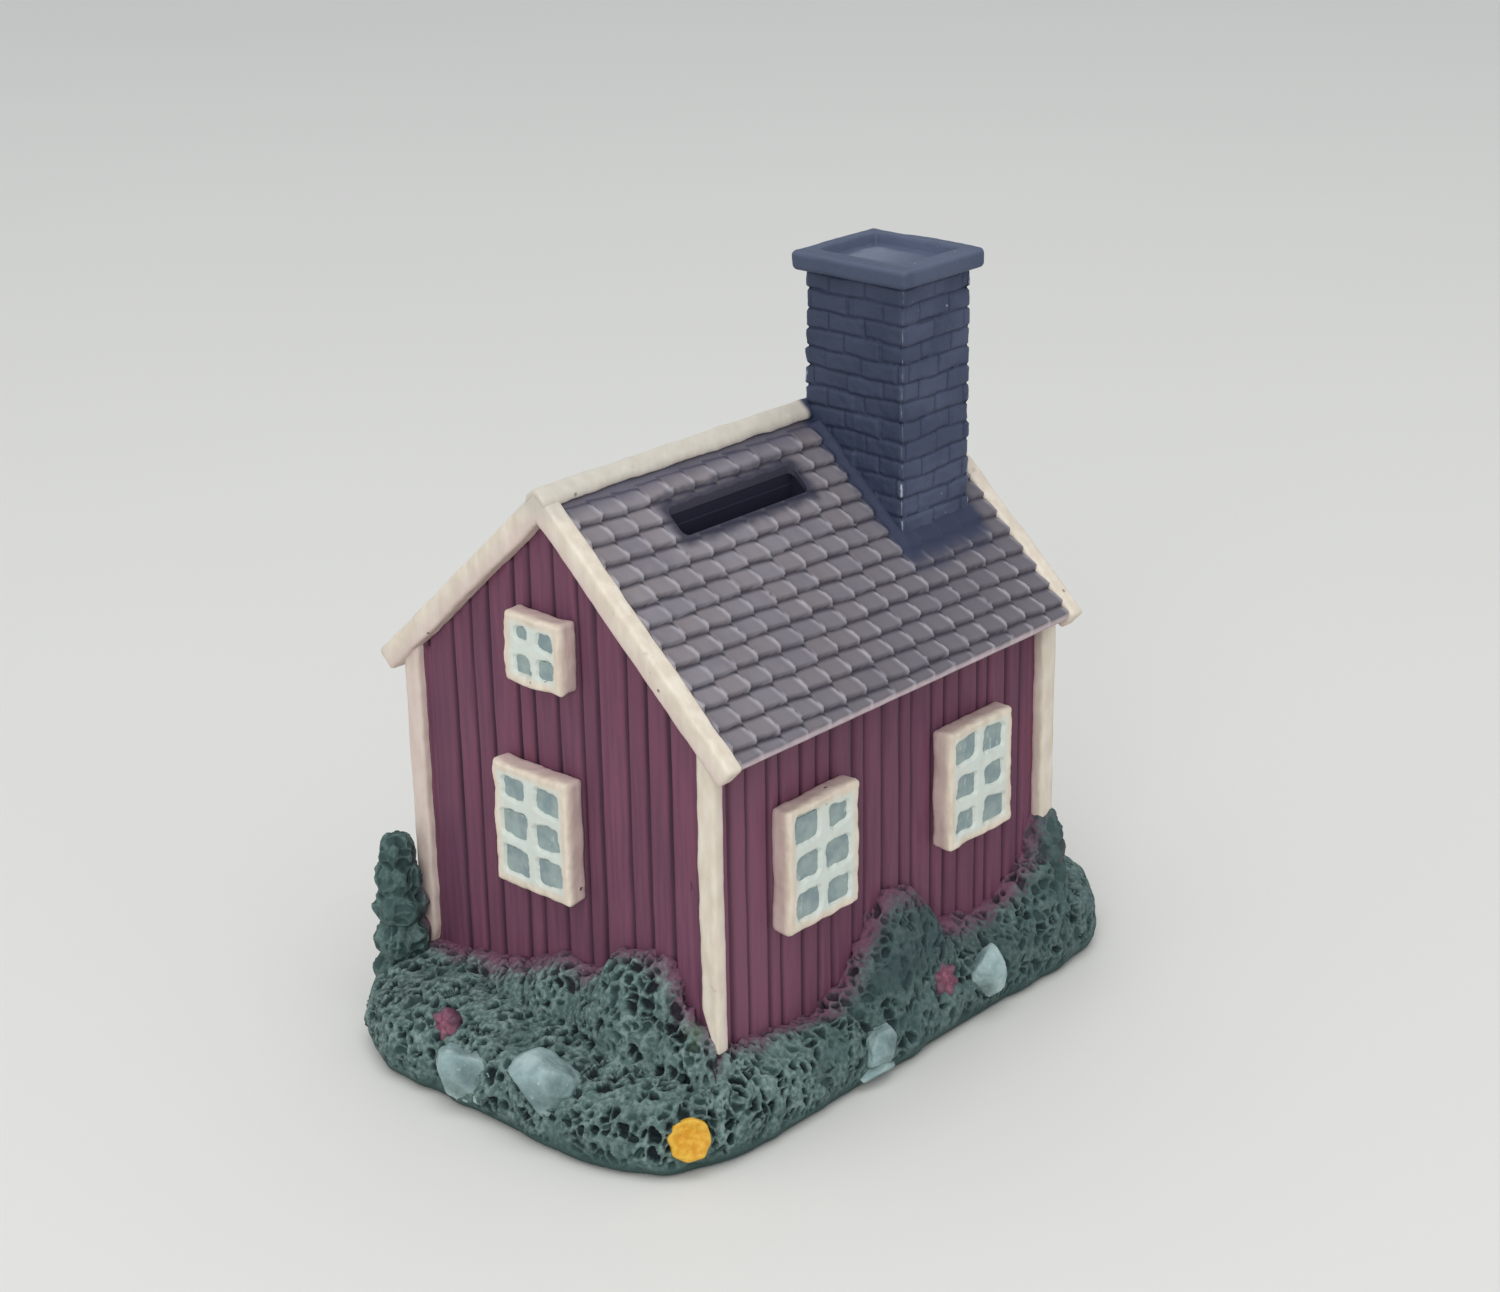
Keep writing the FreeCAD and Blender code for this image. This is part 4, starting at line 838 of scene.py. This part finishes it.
over_x = abs(pane_x + lean * pane_y) - (pane_width / 2 - PANE_CORNER - 0.5 * shrink)
over_y = abs(pane_y - lean * pane_x) - (pane_height / 2 - PANE_CORNER - 0.5 * shrink)
corner_over = (over_x.most(0.0) * over_x.most(0.0) + over_y.most(0.0) * over_y.most(0.0)).math("SQRT")
to_pane = corner_over + over_x.most(over_y).least(0.0) - PANE_CORNER
to_pane = to_pane + 1.3 * casement.ripple(seeded, 2.6)
within_x = width / 2 - border * 0.7 - abs(x)
within = within_x.least(height / 2 - border * 0.7 - abs(y))
front = z.above(proud * 0.49)
sunk = (1 - to_pane.rise(-0.3, 0.25)) * within.above(0.0) * front * pane_depth
rim_run = (width / 2 - abs(x)).least(height / 2 - abs(y))
beads = 0.25 * (1 - rim_run.rise(0.5, 1.8)) * casement.mottle(seeded, 5.0, 1.0).rise(0.4, 0.65)
plumpness = 0.45 * casement.ripple(seeded, 4.0) * front + beads * front
soft_x = sx + 1.5 * bulge_x * (sx / width) * 2
soft_y = sy + 1.8 * bulge_y * (sy / height) * 2
# side: the window's flanks, painted pinker as thin cream and as painted shade and painted reflection.
frame_mesh = casement.mark(frame_mesh, side=1 - (z / proud + 0.5).rise(0.45, 0.98),
                           tint=rim_run.rise(1.0, 2.6) * front)
casement.close(frame_mesh, casement.join(soft_x, soft_y, sz + proud / 2 + plumpness - sunk))

window_walls = {"gable_left": "left", "attic_left": "left", "front_left": "front", "front_right": "front",
                "gable_right": "right", "attic_right": "right", "rear_left": "rear", "rear_right": "rear"}
for seed, (name, wall) in enumerate(window_walls.items(), start=1):
    low, high = box_mm(f"window_frame_{name}")
    middle = (low + high) / 2
    extent = high - low
    width, proud = (extent.x, extent.y) if wall in ("front", "rear") else (extent.y, extent.x)
    along_wall = {"front": middle.x, "rear": -middle.x, "left": -middle.y, "right": middle.y}[wall]
    mesh = casement.cast({"Width": width, "Height": extent.z, "Proud": proud, "Seed": float(seed),
                          "Panes": 2.0 if name.startswith("attic") else 3.0,
                          **grid(0.28, Columns=width, Rows=extent.z), **grid(0.7, Layers=proud)})
    fit(f"window_casement_{name}", mesh, [f"window_frame_{name}"],
        on_wall(wall, along_wall, middle.z))
    dress(f"window_panes_{name}", pane_paint)


# Rear door
# A plain boarded door in a cream frame, cast on the rear wall and standing on the bank. It is painted in the
# green of the planting.

leaf = Paint("door_green")
leaf_streak = leaf.blotches(1.2, 3.0, (1, 1, 10))
leaf_colour = leaf.layers(
    (62, 88, 84),
    (leaf_streak.rise(0.3, 0.7), (84, 110, 104)),
    (leaf.attribute("groove").rise(0.2, 0.9), (36, 50, 50)))
door_paint = leaf.coat(leaf_colour, 0.55 + 0.2 * leaf_streak, leaf_streak, 0.14)

leaf_low, leaf_high = box_mm("door_leaf")
leaf_size = leaf_high - leaf_low
mesh = boards.cast({"Length": leaf_size.x, "Height": leaf_size.z, "Thickness": leaf_size.y, "Board": 3.05,
                    "Joints": 1.0, "Seed": 6.0, **grid(0.3, Columns=leaf_size.x),
                    **grid(2.0, Rows=leaf_size.z)})
fit("door_boards", coated(mesh, door_paint), ["door_leaf"],
    on_wall("rear", 0.0, leaf_low.z) @ Matrix.Translation((0, 0, leaf_size.y)))

case_low, case_high = box_mm("door_frame")
case_size = case_high - case_low
case_border = (case_size.x - leaf_size.x) / 2
jamb_x = (case_size.x - case_border) / 2
casing = bmesh.new()
for seed, (length, place, turn) in enumerate([
        (case_size.z, (-jamb_x, case_size.z / 2), 90), (case_size.z, (jamb_x, case_size.z / 2), 90),
        (case_size.x, (0, case_size.z - case_border / 2), 0)]):
    part = batten(length, case_border, case_size.y, 31.0 + seed, Rounding=0.5, Wobble=0.35)
    laid = Matrix.Rotation(math.radians(turn), 4, "Z")
    part.transform(Matrix.Translation((*place, case_size.y / 2)) @ laid)
    casing.from_mesh(part)
fit("door_casing", coated(as_mesh(casing, "door_casing"), trim_paint), ["door_frame"],
    on_wall("rear", 0.0, case_low.z))


# Planted bank and bushes
# The casting's foot: a sloping bank with bushes against the walls, in one spongy relief full of round pits.
# It is painted dark green, dry-brushed paler, and the wall's burgundy has strayed over its upper edge. Its
# pits and the creases between its tufts are painted darker as shade, and its ridges carry a painted highlight
# on top of the dry-brushing.

PIT_SPACING = 2.5


def planting_pits(nodes, seat):
    """Round pits of two sizes: how deep a place lies in one, and how near it is to a ridge between pits."""
    drift = nodes.add("ShaderNodeTexNoise", None, {"Vector": seat, "Scale": 0.22, "Detail": 2.0})["Color"]
    warped = nodes.vector("ADD", seat, nodes.vector("MULTIPLY", drift, (5.0, 5.0, 5.0)))
    pits = []
    for spacing, least, most in ((PIT_SPACING, 0.3, 0.76), (PIT_SPACING / 1.7, 0.0, 0.46)):
        cell = nodes.cells(warped, spacing)
        wall = nodes.cells(warped, spacing, "DISTANCE_TO_EDGE")["Distance"]
        wide, deep, _ = nodes.split(cell["Color"])
        radius = least + (most - least) * wide
        bowl = (1 - (cell["Distance"] - radius).rise(-0.24, 0.06)) * wall.rise(0.0, 0.2)
        pits.append(bowl * (0.45 + 0.55 * deep.rise(0.1, 0.5)))
    return pits[0].most(0.55 * pits[1]), 1 - pits[0].rise(0.0, 0.4)


NEAR_POST_FOOT = (-50.6, -35.2, 19.5)
plants = Paint("planting_green")
pit, ridge = planting_pits(plants, plants.add("ShaderNodeAttribute", {"attribute_name": "seat"})["Vector"])
pitted = plants.attribute("pitted")
px, py, pz = plants.split(plants.place)
tone = plants.blotches(13.0, 3.0)
flecks = plants.blotches(1.0, 4.0)
front_shade = (1 - py.rise(-46.0, -30.0)) * px.rise(-40.0, 0.0)
front_shade = front_shade * (0.26 + 0.44 * pz.rise(12.0, 20.0) * (1 - px.rise(16.0, 34.0)))
off_wall = (abs(px) - HALF_LENGTH).most(abs(py) - HALF_WIDTH)
stray = (1 - (off_wall + 6.0 * (tone - 0.5) + 5.0 * (flecks - 0.5)).rise(0.6, 5.0)) * pz.rise(11.0, 14.0)
# The burgundy strayed on the bank, painted darker in the pits as shade.
wine = plants.layers((116, 76, 98), (pit * pitted, (58, 38, 54)))
off_foot = plants.vector("SUBTRACT", plants.place, NEAR_POST_FOOT)
foot_x, foot_y, foot_z = plants.split(plants.vector("MULTIPLY", off_foot, (0.4, 0.4, 0.16)))
post_smear = (foot_x * foot_x + foot_y * foot_y + foot_z * foot_z).math("SQRT")
green = plants.layers(
    (57, 82, 79),
    (tone.rise(0.35, 0.65), (73, 98, 96)),
    # Pale ridges between pits: dry-brushing and a painted highlight.
    (ridge * pitted * (0.1 + 0.65 * flecks.rise(0.35, 0.7)), (142, 162, 156)),
    # Painted shade in the creases between tufts.
    (plants.attribute("valley") * 0.22, (38, 52, 54)),
    # Painted shade in the pits.
    ((1.25 * pit * pitted).least(1.0), (27, 37, 42)),
    (front_shade, (46, 60, 66)),
    (stray * (0.55 + 0.4 * ridge), wine),
    ((1 - pz.rise(0.8, 3.0)) * 0.55, (44, 64, 62)),
    ((1 - post_smear.rise(0.5, 1.1)) * 0.7, (88, 108, 92)))
plant_paint = plants.coat(green, 0.6 + 0.25 * flecks, flecks + plants.blotches(2.0), 0.3, 0.25)

sponge = Form("spongy_planting", {"Depth": 2.2, "Pitted": 1.0, "Tuft": 7.0, "Lump": 1.3, "Foot": 0.15},
              plant_paint)
depth, pitted_share, tuft, lump, foot = sponge.sizes
spot = sponge.add("GeometryNodeInputPosition")["Position"]
normal = sponge.add("GeometryNodeInputNormal")["Normal"]
hole, _ = planting_pits(sponge, spot)
tuft_edge = sponge.add("ShaderNodeTexVoronoi", None, {"Vector": spot, "Scale": 1 / tuft})["Distance"]
seat_x, seat_y, seat_z = sponge.split(spot)
above_table = seat_z.rise(1.0, 5.0)
shallow = 0.28 * (-seat_y).rise(34.0, 42.0) * seat_x.rise(-46.0, -20.0)
holed = 0.45 + 0.55 * sponge.mottle(spot, 8.0).rise(0.25, 0.6) - shallow
holed = pitted_share * holed * above_table
swell = lump * (0.5 - tuft_edge) + 0.4 * sponge.ripple(spot, 2.2, 3.0)
push = swell * above_table + (0.25 - hole) * depth * holed
moved = sponge.vector("ADD", spot, sponge.vector("MULTIPLY", normal, sponge.join(push, push, push)))
mx, my, mz = sponge.split(moved)
bank_mesh = sponge.mark(sponge.given["Geometry"], "FLOAT_VECTOR", seat=spot)
# valley marks the creases between tufts, for the painted shade there.
bank_mesh = sponge.mark(bank_mesh, pitted=holed, valley=tuft_edge.rise(0.5, 0.85) * above_table)
sponge.close(bank_mesh, sponge.join(mx, my, mz.most(foot)))


def round_rectangle(half_x, half_y, radius, corner_steps, side_steps):
    """Points round a rectangle with round corners, as many for any size, so that two outlines pair up."""
    corners = [(1, 1), (-1, 1), (-1, -1), (1, -1)]
    points = []
    for turn, (side_x, side_y) in enumerate(corners):
        middle = Vector((side_x * (half_x - radius), side_y * (half_y - radius)))
        for step in range(corner_steps[turn] + 1):
            angle = (turn + step / corner_steps[turn]) * math.pi / 2
            points.append(middle + radius * Vector((math.cos(angle), math.sin(angle))))
        next_x, next_y = corners[(turn + 1) % 4]
        angle = (turn + 1) * math.pi / 2
        begin = points[-1]
        end = Vector((next_x * (half_x - radius), next_y * (half_y - radius)))
        end += radius * Vector((math.cos(angle), math.sin(angle)))
        points += [begin.lerp(end, step / side_steps[turn]) for step in range(1, side_steps[turn])]
    return points


planting_tops = {
    "front": [(-50, 18.5), (-46, 18), (-38, 16), (-30, 15), (-22, 14), (-13, 17), (-8, 24), (-4, 29),
              (0, 31.5), (6, 31), (9, 28), (11, 23), (15, 19.5), (22, 18), (27, 16), (33, 17), (38, 19.5),
              (42, 22.5), (46, 26), (50, 29)],
    "left": [(-38, 18.5), (-35, 22), (-31, 30), (-28, 33), (-24, 33), (-17, 31.5), (-12, 26.5), (-9, 24),
             (0, 25), (5, 23), (10, 20.5), (20, 18), (36, 16)],
    "right": [(-38, 28), (-32, 19), (-26, 16), (-10, 15), (2, 20), (8, 27), (14, 29), (20, 26), (27, 18),
              (38, 16)],
    "rear": [(-50, 16), (-30, 15), (-22, 18), (-16, 24), (-11, 17), (0, 15), (11, 18), (17, 27), (23, 19),
             (30, 15), (50, 16)],
}


def planting_top(place):
    """Height to which the planting climbs at a place on the walls."""
    if abs(place.y) / HALF_WIDTH > abs(place.x) / HALF_LENGTH:
        tops = planting_tops["front" if place.y < 0 else "rear"]
        run = place.x
    else:
        tops = planting_tops["left" if place.x < 0 else "right"]
        run = place.y
    for (start, low), (end, high) in zip(tops, tops[1:]):
        if run <= end:
            share = max(0.0, (run - start) / (end - start))
            return low + (high - low) * share * share * (3 - 2 * share)
    return tops[-1][1]


def evenly(path, count):
    """So many points along a path of straight pieces, the same distance apart."""
    lengths = [0.0]
    for start, end in zip(path, path[1:]):
        lengths.append(lengths[-1] + math.dist(start, end))
    points = []
    piece = 0
    for number in range(count):
        wanted = lengths[-1] * number / (count - 1)
        while piece < len(path) - 2 and lengths[piece + 1] < wanted:
            piece += 1
        share = (wanted - lengths[piece]) / (lengths[piece + 1] - lengths[piece])
        start, end = path[piece], path[piece + 1]
        points.append((start[0] + (end[0] - start[0]) * share, start[1] + (end[1] - start[1]) * share))
    return points


plate_high = box_mm("base_plate")[1]
PLATE_CORNER = 25.0
BANK_TOP = 15.0
BANK_SLOPE = [(0.0, 0.0), (0.05, 0.4), (0.24, 0.7), (0.5, 0.9), (0.78, 1.0), (1.0, 1.0)]
BANK_TOE = [(1.2, 0.15), (0.1, 0.7), (-0.7, 2.2), (-0.9, 4.2), (-0.7, 6.4)]
BANK_STEPS = 44
BANK_PLACES = 86
INTO_WALL = 2.5


def bank_share(inward):
    """How much of its height the bank has gained at a share of its width from the rim."""
    for (start, low), (end, high) in zip(BANK_SLOPE, BANK_SLOPE[1:]):
        if inward <= end:
            return low + (high - low) * (inward - start) / (end - start)
    return 1.0


def bank_form():
    """The bank and its bushes before the pits: from a rounded toe on the table up to the planting's top."""
    counts = ((45, 85, 135, 95), (120, 160, 330, 70))
    outer = round_rectangle(plate_high.x, plate_high.y, PLATE_CORNER, *counts)
    inner = round_rectangle(HALF_LENGTH - INTO_WALL, HALF_WIDTH - INTO_WALL, 1.5, *counts)
    stations = []
    for rim, wall in zip(outer, inner):
        outward = (rim - wall).normalized()
        run = (rim - wall).length - INTO_WALL
        ragged = noise.noise(Vector((rim.x * 0.055, rim.y * 0.055, 4.0)))
        ragged = max(-0.1, ragged + 0.6 * noise.noise(Vector((rim.x * 0.15, rim.y * 0.15, 9.0))))
        climb = planting_top(wall) - BANK_TOP
        reach = min(0.88 * run, 4.5 + 0.36 * abs(climb))
        path = list(BANK_TOE)
        for step in range(1, BANK_STEPS + 1):
            inward = run * step / BANK_STEPS
            bank = plate_high.z + (BANK_TOP - plate_high.z) * bank_share(step / BANK_STEPS)
            dome = max(0.0, 1 - ((run - inward) / reach) ** 2) ** 0.75
            path.append((inward, bank + climb * dome))
        path.append((run + INTO_WALL * 0.6, path[-1][1] - 0.5))
        places = []
        for inward, level in evenly(path, BANK_PLACES):
            fade = max(0.0, 1 - max(0.0, inward) / run)
            place = rim - outward * (inward - 1.5 * ragged * fade)
            places.append((place.x, place.y, level))
        stations.append(places + [(wall.x, wall.y, 4.0), (wall.x, wall.y, 0.6)])
    return through_rings(stations, closed=True)


clipped_bushes = {
    "bush_cone_left": [(5.9, 11.0), (5.6, 18.4), (5.1, 25.2), (4.5, 31.2), (3.5, 36.3)],
    "bush_corner_right": [(6.6, 12.0), (6.2, 18.0), (5.6, 22.6), (5.0, 26.4), (4.3, 28.6)],
}
bushes = [node for node in frame["nodes"] if node.startswith("bush_") and node not in clipped_bushes]
fit("planted_bank", sponge.cast({}, bank_form()), ["garden_bank"] + bushes)


def clipped_form(middle, tiers):
    """A clipped bush before the pits: scalloped balls of leaves, one on another, fused together."""
    form = bmesh.new()
    for tier, (radius, level) in enumerate(tiers):
        centre = Vector((middle.x, middle.y, level))
        scaled = Matrix.Translation(centre) @ Matrix.Diagonal((radius, radius, 4.4, 1))
        made = bmesh.ops.create_icosphere(form, subdivisions=4, radius=1.0, matrix=scaled)
        for vert in made["verts"]:
            arm = vert.co - centre
            turn = math.atan2(arm.y, arm.x)
            scallop = 1 + 0.09 * math.cos(6 * turn + 2.1 * tier)
            droop = 0.9 * abs(math.sin(3 * turn + tier))
            vert.co = centre + Vector((arm.x * scallop, arm.y * scallop, arm.z - droop))
    holder = linked("clipped_form", as_mesh(form, "clipped_form"))
    fused = holder.modifiers.new("fused", "REMESH")
    fused.mode = "VOXEL"
    fused.voxel_size = 0.42
    fused_mesh = plain_mesh(holder)
    bpy.data.objects.remove(holder)
    return fused_mesh


for node, tiers in clipped_bushes.items():
    low, high = box_mm(node)
    mesh = sponge.cast({"Depth": 1.4, "Pitted": 0.45, "Lump": 0.5}, clipped_form((low + high) / 2, tiers))
    fit(f"clipped_{node}", mesh, [node])


# Stones
# Field stones cast into the side of the bank, with flat chipped faces. They are painted pale blue-grey, each
# face in its own tone, and washed with the green round them.

rock = Paint("blue_grey_stone")
rock_tone = rock.blotches(4.0, 4.0)
rock_fleck = rock.blotches(0.9, 3.0)
rock_colour = rock.layers(
    (142, 166, 166),
    (rock_tone.rise(0.3, 0.7), (180, 200, 198)),
    (rock.attribute("chip_tone") * 0.4, (104, 128, 131)),
    (rock.attribute("low") * (0.4 + 0.6 * rock_fleck), (78, 102, 102)),
    (rock_fleck.rise(0.64, 0.74) * 0.35, (200, 212, 212)))
stone_paint = rock.coat(rock_colour, 0.6 + 0.2 * rock_tone, rock_tone + rock_fleck, 0.3)

CHIPS = 24


def chipped_stone(reach, seed):
    """A ball cut by flat chips, each at its own depth and in its own tone."""
    ball = bmesh.new()
    bmesh.ops.create_icosphere(ball, subdivisions=5, radius=1.0)
    draw = random.Random(seed)
    chips = []
    for _ in range(CHIPS):
        facing = Vector((draw.gauss(0, 1), draw.gauss(0, 1), draw.gauss(0, 1))).normalized()
        chips.append((facing, draw.uniform(0.62, 0.84), draw.random()))
    low_layer = ball.verts.layers.float.new("low")
    tone_layer = ball.verts.layers.float.new("chip_tone")
    for vert in ball.verts:
        out = vert.co.normalized()
        far, tone = 1.0, 0.5
        for facing, depth, chip_tone in chips:
            lean = facing.dot(out)
            if lean > 0.05 and depth / lean < far:
                far, tone = depth / lean, chip_tone
        rough = 0.03 * noise.noise(out * 3.0 + Vector((seed, 0, 0))) + 0.02 * noise.noise(out * 9.0)
        vert.co = out * (far + rough)
        vert[low_layer] = min(1.0, max(0.0, 1.2 * (0.86 - far) / 0.25))
        vert[tone_layer] = tone
    for face in ball.faces:
        face.smooth = True
    mesh = as_mesh(ball, "chipped_stone")
    mesh.transform(Matrix.Diagonal((*reach, 1)))
    return mesh


stone_lumps = {
    "stone_gable_large": [((-0.6, -0.9, 0.1), (7.4, 9.0, 6.6))],
    "stone_gable_small": [((-0.3, 0.1, 0.2), (5.2, 7.6, 6.6))],
    "stone_gable_far": [((0.4, 0.0, 0.0), (6.4, 6.4, 6.3))],
    "stone_front_left": [((-0.8, -0.2, 1.2), (5.0, 3.9, 4.9)), ((-1.9, 0.5, -3.7), (5.8, 3.0, 2.3))],
    "stone_front_right": [((-0.5, -0.4, 0.0), (5.0, 4.6, 6.8))],
    "stone_rear": [((0.0, 0.4, 0.0), (4.8, 3.6, 6.4))],
}
for seed, (node, lumps) in enumerate(stone_lumps.items(), start=1):
    low, high = box_mm(node)
    stone = bmesh.new()
    for part, (shift, reach) in enumerate(lumps):
        lump = chipped_stone(reach, seed + 7 * part + 20)
        lump.transform(Matrix.Translation((low + high) / 2 + Vector(shift)))
        stone.from_mesh(lump)
    fit(f"chipped_{node}", coated(as_mesh(stone, "chipped_stone"), stone_paint), [node])


# Flowers
# Flower heads cast on the bank and picked out with a loaded brush, so the paint stands up in ridges and hides
# the petals' edges.

def petal_paint(name, body, light, dark, rim, rim_share):
    """Thick paint in one strong colour, lighter on its ridges, darker in the middle, with its own rim."""
    dab = Paint(name)
    ridge = dab.blotches(1.1, 4.0)
    blotch = dab.blotches(2.6, 3.0)
    at_rim = (dab.attribute("edge") + 0.9 * (ridge - 0.5)).rise(0.5, 1.0)
    shade = dab.layers(body, (ridge.rise(0.4, 0.7), light), (blotch.rise(0.5, 0.7) * 0.7, dark),
                       (at_rim * rim_share, rim))
    return dab.coat(shade, 0.4 + 0.2 * ridge, ridge + blotch, 0.3, 0.4)


yellow_dab = petal_paint("yellow_dab", (206, 146, 28), (224, 172, 56), (200, 124, 14), (222, 178, 66), 0.7)
magenta_dab = petal_paint("magenta_dab", (116, 62, 82), (146, 92, 110), (84, 50, 66), (92, 68, 82), 0.6)


def flower_head(radius, petals, lobe_depth, seed):
    """A low head closed underneath: petals round a raised middle, or a flat-sided disc with a raised rim."""
    shares = [0.2, 0.4, 0.6, 0.76, 0.88, 0.96, 1.0, 0.92]
    heights = [0.34, 0.3, 0.3, 0.28, 0.22, 0.13, 0.0, -0.5] if lobe_depth else [
        0.24, 0.25, 0.26, 0.29, 0.33, 0.29, 0.08, -0.5]
    count = 64
    side = math.pi / petals
    loops = []
    for share, level in zip(shares, heights):
        loop = []
        for part in range(count):
            angle = 2 * math.pi * part / count
            wave = lobe_depth * math.cos(petals * angle + seed) * share
            flat = 0.45 + 0.55 * math.cos(side) / math.cos((angle + seed) % (2 * side) - side)
            rough = noise.noise(Vector((math.cos(angle) * 2 * share, math.sin(angle) * 2 * share, seed)))
            reach = radius * share * ((1 + wave if lobe_depth else 1.03 * flat) + 0.1 * rough)
            lift = radius * (level + 0.08 * rough + wave)
            loop.append((reach * math.cos(angle), reach * math.sin(angle), lift))
        loops.append(loop)
    mesh = through_rings(loops, closed=False)
    edge = mesh.attributes.new("edge", "FLOAT", "POINT")
    edge.data.foreach_set("value", [share for share in shares for _ in range(count)])
    return mesh


flower_forms = {"flower_yellow": (236, 3.95, 8, 0.0, yellow_dab, "yellow_paint"),
                "flower_gable": (180, 3.1, 6, 0.12, magenta_dab, "magenta_paint"),
                "flower_front": (270, 3.1, 6, 0.12, magenta_dab, "magenta_paint")}
for seed, (node, form) in enumerate(flower_forms.items(), start=1):
    heading, radius, petals, lobe_depth, dab, slot = form
    low, high = box_mm(node)
    turned = Vector((math.cos(math.radians(heading)), math.sin(math.radians(heading)), 0.35))
    facing = turned.to_track_quat("Z", "Y").to_matrix().to_4x4()
    fit(f"painted_{node}", coated(flower_head(radius, petals, lobe_depth, seed), dab), [node],
        Matrix.Translation((low + high) / 2) @ facing)


# Stopper
# A soft black plug moulded in one piece, pressed up into the stepped hole. A flange seats it, two ribs grip
# the hole, and a bar across the sunk face is there to pull it by.

rubber = Paint("black_stopper")
bloom = rubber.blotches(5.0, 4.0)
skin = rubber.blotches(0.5)
rubber_colour = rubber.layers((32, 32, 34), (bloom.rise(0.4, 0.7), (52, 52, 54)))
rubber_paint = rubber.coat(rubber_colour, 0.5 + 0.3 * bloom, skin, 0.05, 0.4)

stopper_low, stopper_high = box_mm("stopper")
FLANGE_RADIUS = stopper_high.x
FLANGE_UNDER = 1.8
FLANGE_TOP = 3.6
WAIST_RADIUS = 14.12
RIB_RADIUS = 14.92
CUP_RADIUS = 12.32
CUP_FLOOR = 4.5
plug_profile = [
    (0.2, FLANGE_UNDER), (FLANGE_RADIUS, FLANGE_UNDER), (FLANGE_RADIUS, FLANGE_TOP),
    (WAIST_RADIUS, FLANGE_TOP), (WAIST_RADIUS, 4.13), (RIB_RADIUS, 4.83), (WAIST_RADIUS, 5.53),
    (WAIST_RADIUS, 6.07), (RIB_RADIUS, 6.77), (WAIST_RADIUS, 7.47), (WAIST_RADIUS, stopper_high.z),
    (CUP_RADIUS, stopper_high.z), (CUP_RADIUS, CUP_FLOOR), (0.2, CUP_FLOOR),
]


def softened(profile, radius):
    """The same profile with its corners rounded over, as moulded rubber has them."""
    points = [profile[0]]
    for before, corner, after in zip(profile, profile[1:], profile[2:]):
        corner = Vector(corner)
        start = corner + (Vector(before) - corner).normalized() * radius
        end = corner + (Vector(after) - corner).normalized() * radius
        for share in (0.0, 0.25, 0.5, 0.75, 1.0):
            points.append(start.lerp(corner, share).lerp(corner.lerp(end, share), share))
    return points + [profile[-1]]


def turned_loop(radius, level, count=96):
    turns = [2 * math.pi * part / count for part in range(count)]
    return [(radius * math.cos(turn), radius * math.sin(turn), level) for turn in turns]


plug = bmesh.new()
plug.from_mesh(through_rings([turned_loop(*point) for point in softened(plug_profile, 0.25)], closed=False))
grip_height = FLANGE_UNDER - stopper_low.z + 0.4
grip = batten(16.0, 3.0, grip_height, 41.0, Rounding=0.6, Wobble=0.0)
grip.transform(Matrix.Translation((0, 0, stopper_low.z + grip_height / 2)))
plug.from_mesh(grip)
fit("stopper_plug", coated(as_mesh(plug, "stopper_plug"), rubber_paint), ["stopper"],
    body="stopper")


# Table, light and camera
# A plain pale table top, soft light from above and from the camera's left, and a camera at the photograph's
# angle.

TABLE_REACH = 4.0
table = Paint("pale_table")
table_tone = table.blotches(300.0)
table_colour = table.layers((218, 217, 212), (table_tone, (222, 221, 216)))
table_paint = table.coat(table_colour, 0.5 + 0.1 * table_tone, table_tone, 0.01)
top = bpy.data.meshes.new("table_top")
table_corners = [(-1, -1), (1, -1), (1, 1), (-1, 1)]
top.from_pydata([(tx * TABLE_REACH, ty * TABLE_REACH, 0) for tx, ty in table_corners], [], [(0, 1, 2, 3)])
linked("table_top", coated(top, table_paint))

world = bpy.data.worlds.new("soft_room")
world.use_nodes = True
bpy.context.scene.world = world
background = world.node_tree.nodes["Background"]
background.inputs["Color"].default_value = (0.93, 0.96, 1.0, 1.0)
background.inputs["Strength"].default_value = 0.68


def soft_lamp(name, place, aim, size, power):
    lamp = bpy.data.lights.new(name, "AREA")
    lamp.shape = "DISK"
    lamp.size = size
    lamp.energy = power
    holder = linked(name, lamp)
    holder.location = place
    holder.rotation_euler = (Vector(place) - Vector(aim)).to_track_quat("Z", "Y").to_euler()


soft_lamp("ceiling_light", (-0.2, -0.2, 1.5), (0, 0, 0.05), 1.4, 8.5)
soft_lamp("window_light", (-1.2, -0.8, 0.8), (0, 0, 0.06), 0.9, 7.5)

view_azimuth = math.radians(-47.455)
view_elevation = math.radians(21.434)
view_roll = math.radians(-1.049)
view_distance = 0.543
view_target = Vector((0.00182, -0.00188, 0.0724))
focal_pixels = 2801.0
image_width = 1500.0
back = Vector((math.sin(view_azimuth) * math.cos(view_elevation),
               -math.cos(view_azimuth) * math.cos(view_elevation), math.sin(view_elevation)))
eye = bpy.data.cameras.new("photo_view")
eye.sensor_width = 36.0
eye.sensor_fit = "HORIZONTAL"
eye.lens = eye.sensor_width * focal_pixels / image_width
camera = linked("photo_view", eye)
turn = back.to_track_quat("Z", "Y").to_matrix().to_4x4() @ Matrix.Rotation(view_roll, 4, "Z")
camera.matrix_world = Matrix.Translation(view_target + back * view_distance) @ turn
bpy.context.scene.camera = camera
bpy.context.scene.view_settings.view_transform = "Standard"
